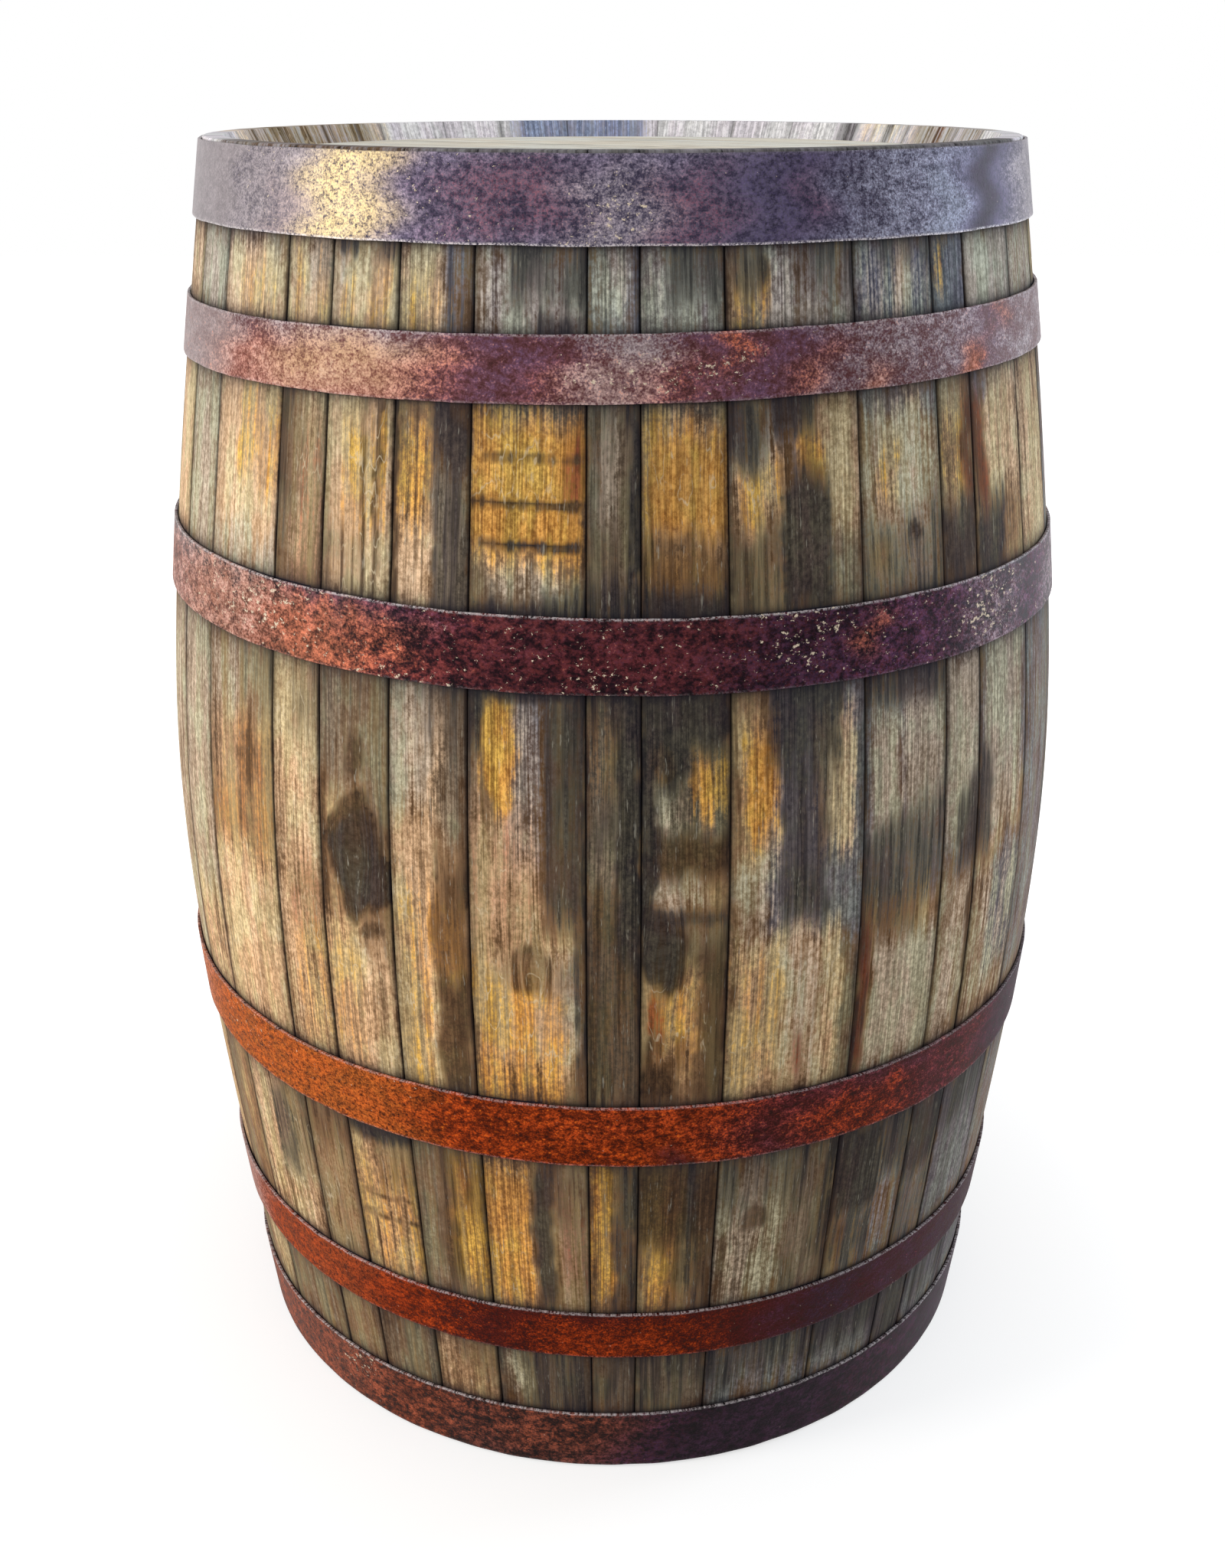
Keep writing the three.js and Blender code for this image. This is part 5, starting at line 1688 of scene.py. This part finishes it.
class BARREL_OT_make_stage(bpy.types.Operator):
    """Make the floor, the light and the camera"""
    bl_idname = "barrel.make_stage"
    bl_label = "Make Stage"

    def execute(self, context):
        scene = context.scene
        scene.view_settings.view_transform = "Standard"
        scene.world = studio_world(scene.barrel_finish.sky_light)
        floor = make_floor()
        floor.data.materials.append(floor_material())
        for lamp in LAMPS:
            add_light(*lamp)
        lens = bpy.data.cameras.new("camera")
        lens.lens = CAMERA_LENS
        lens.sensor_width = CAMERA_SENSOR
        lens.shift_y = CAMERA_SHIFT
        camera = bpy.data.objects.new("camera", lens)
        camera.location = CAMERA_PLACE
        camera.rotation_euler = (math.pi / 2 - CAMERA_TILT, 0, 0)
        scene.collection.objects.link(camera)
        scene.camera = camera
        return {"FINISHED"}


class BARREL_PT_panel(bpy.types.Panel):
    """Sizes, colours and the pieces to make"""
    bl_label = "Oak Barrel"
    bl_idname = "BARREL_PT_panel"
    bl_space_type = "VIEW_3D"
    bl_region_type = "UI"
    bl_category = "Barrel"

    def draw(self, context):
        for group in (context.scene.barrel_sizes, context.scene.barrel_colours,
                      context.scene.barrel_finish):
            box = self.layout.box()
            for name in group.__annotations__:
                box.prop(group, name)
        for operator in OPERATORS:
            self.layout.operator(operator.bl_idname)


OPERATORS = (BARREL_OT_make_staves, BARREL_OT_make_hoops, BARREL_OT_make_rivets,
             BARREL_OT_make_heads, BARREL_OT_make_bung, BARREL_OT_make_stage)
GROUPS = (("barrel_sizes", BarrelSizes), ("barrel_colours", BarrelColours),
          ("barrel_finish", BarrelFinish))


def register():
    for _, group in GROUPS:
        bpy.utils.register_class(group)
    for name, group in GROUPS:
        setattr(bpy.types.Scene, name, bpy.props.PointerProperty(type=group))
    for made in (*OPERATORS, BARREL_PT_panel):
        bpy.utils.register_class(made)


def unregister():
    for made in reversed((*OPERATORS, BARREL_PT_panel)):
        bpy.utils.unregister_class(made)
    for name, group in reversed(GROUPS):
        delattr(bpy.types.Scene, name)
        bpy.utils.unregister_class(group)


def main():
    register()
    bpy.ops.barrel.make_staves()
    bpy.ops.barrel.make_hoops()
    bpy.ops.barrel.make_rivets()
    bpy.ops.barrel.make_heads()
    bpy.ops.barrel.make_bung()
    bpy.ops.barrel.make_stage()
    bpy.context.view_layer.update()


if __name__ == "__main__":
    main()
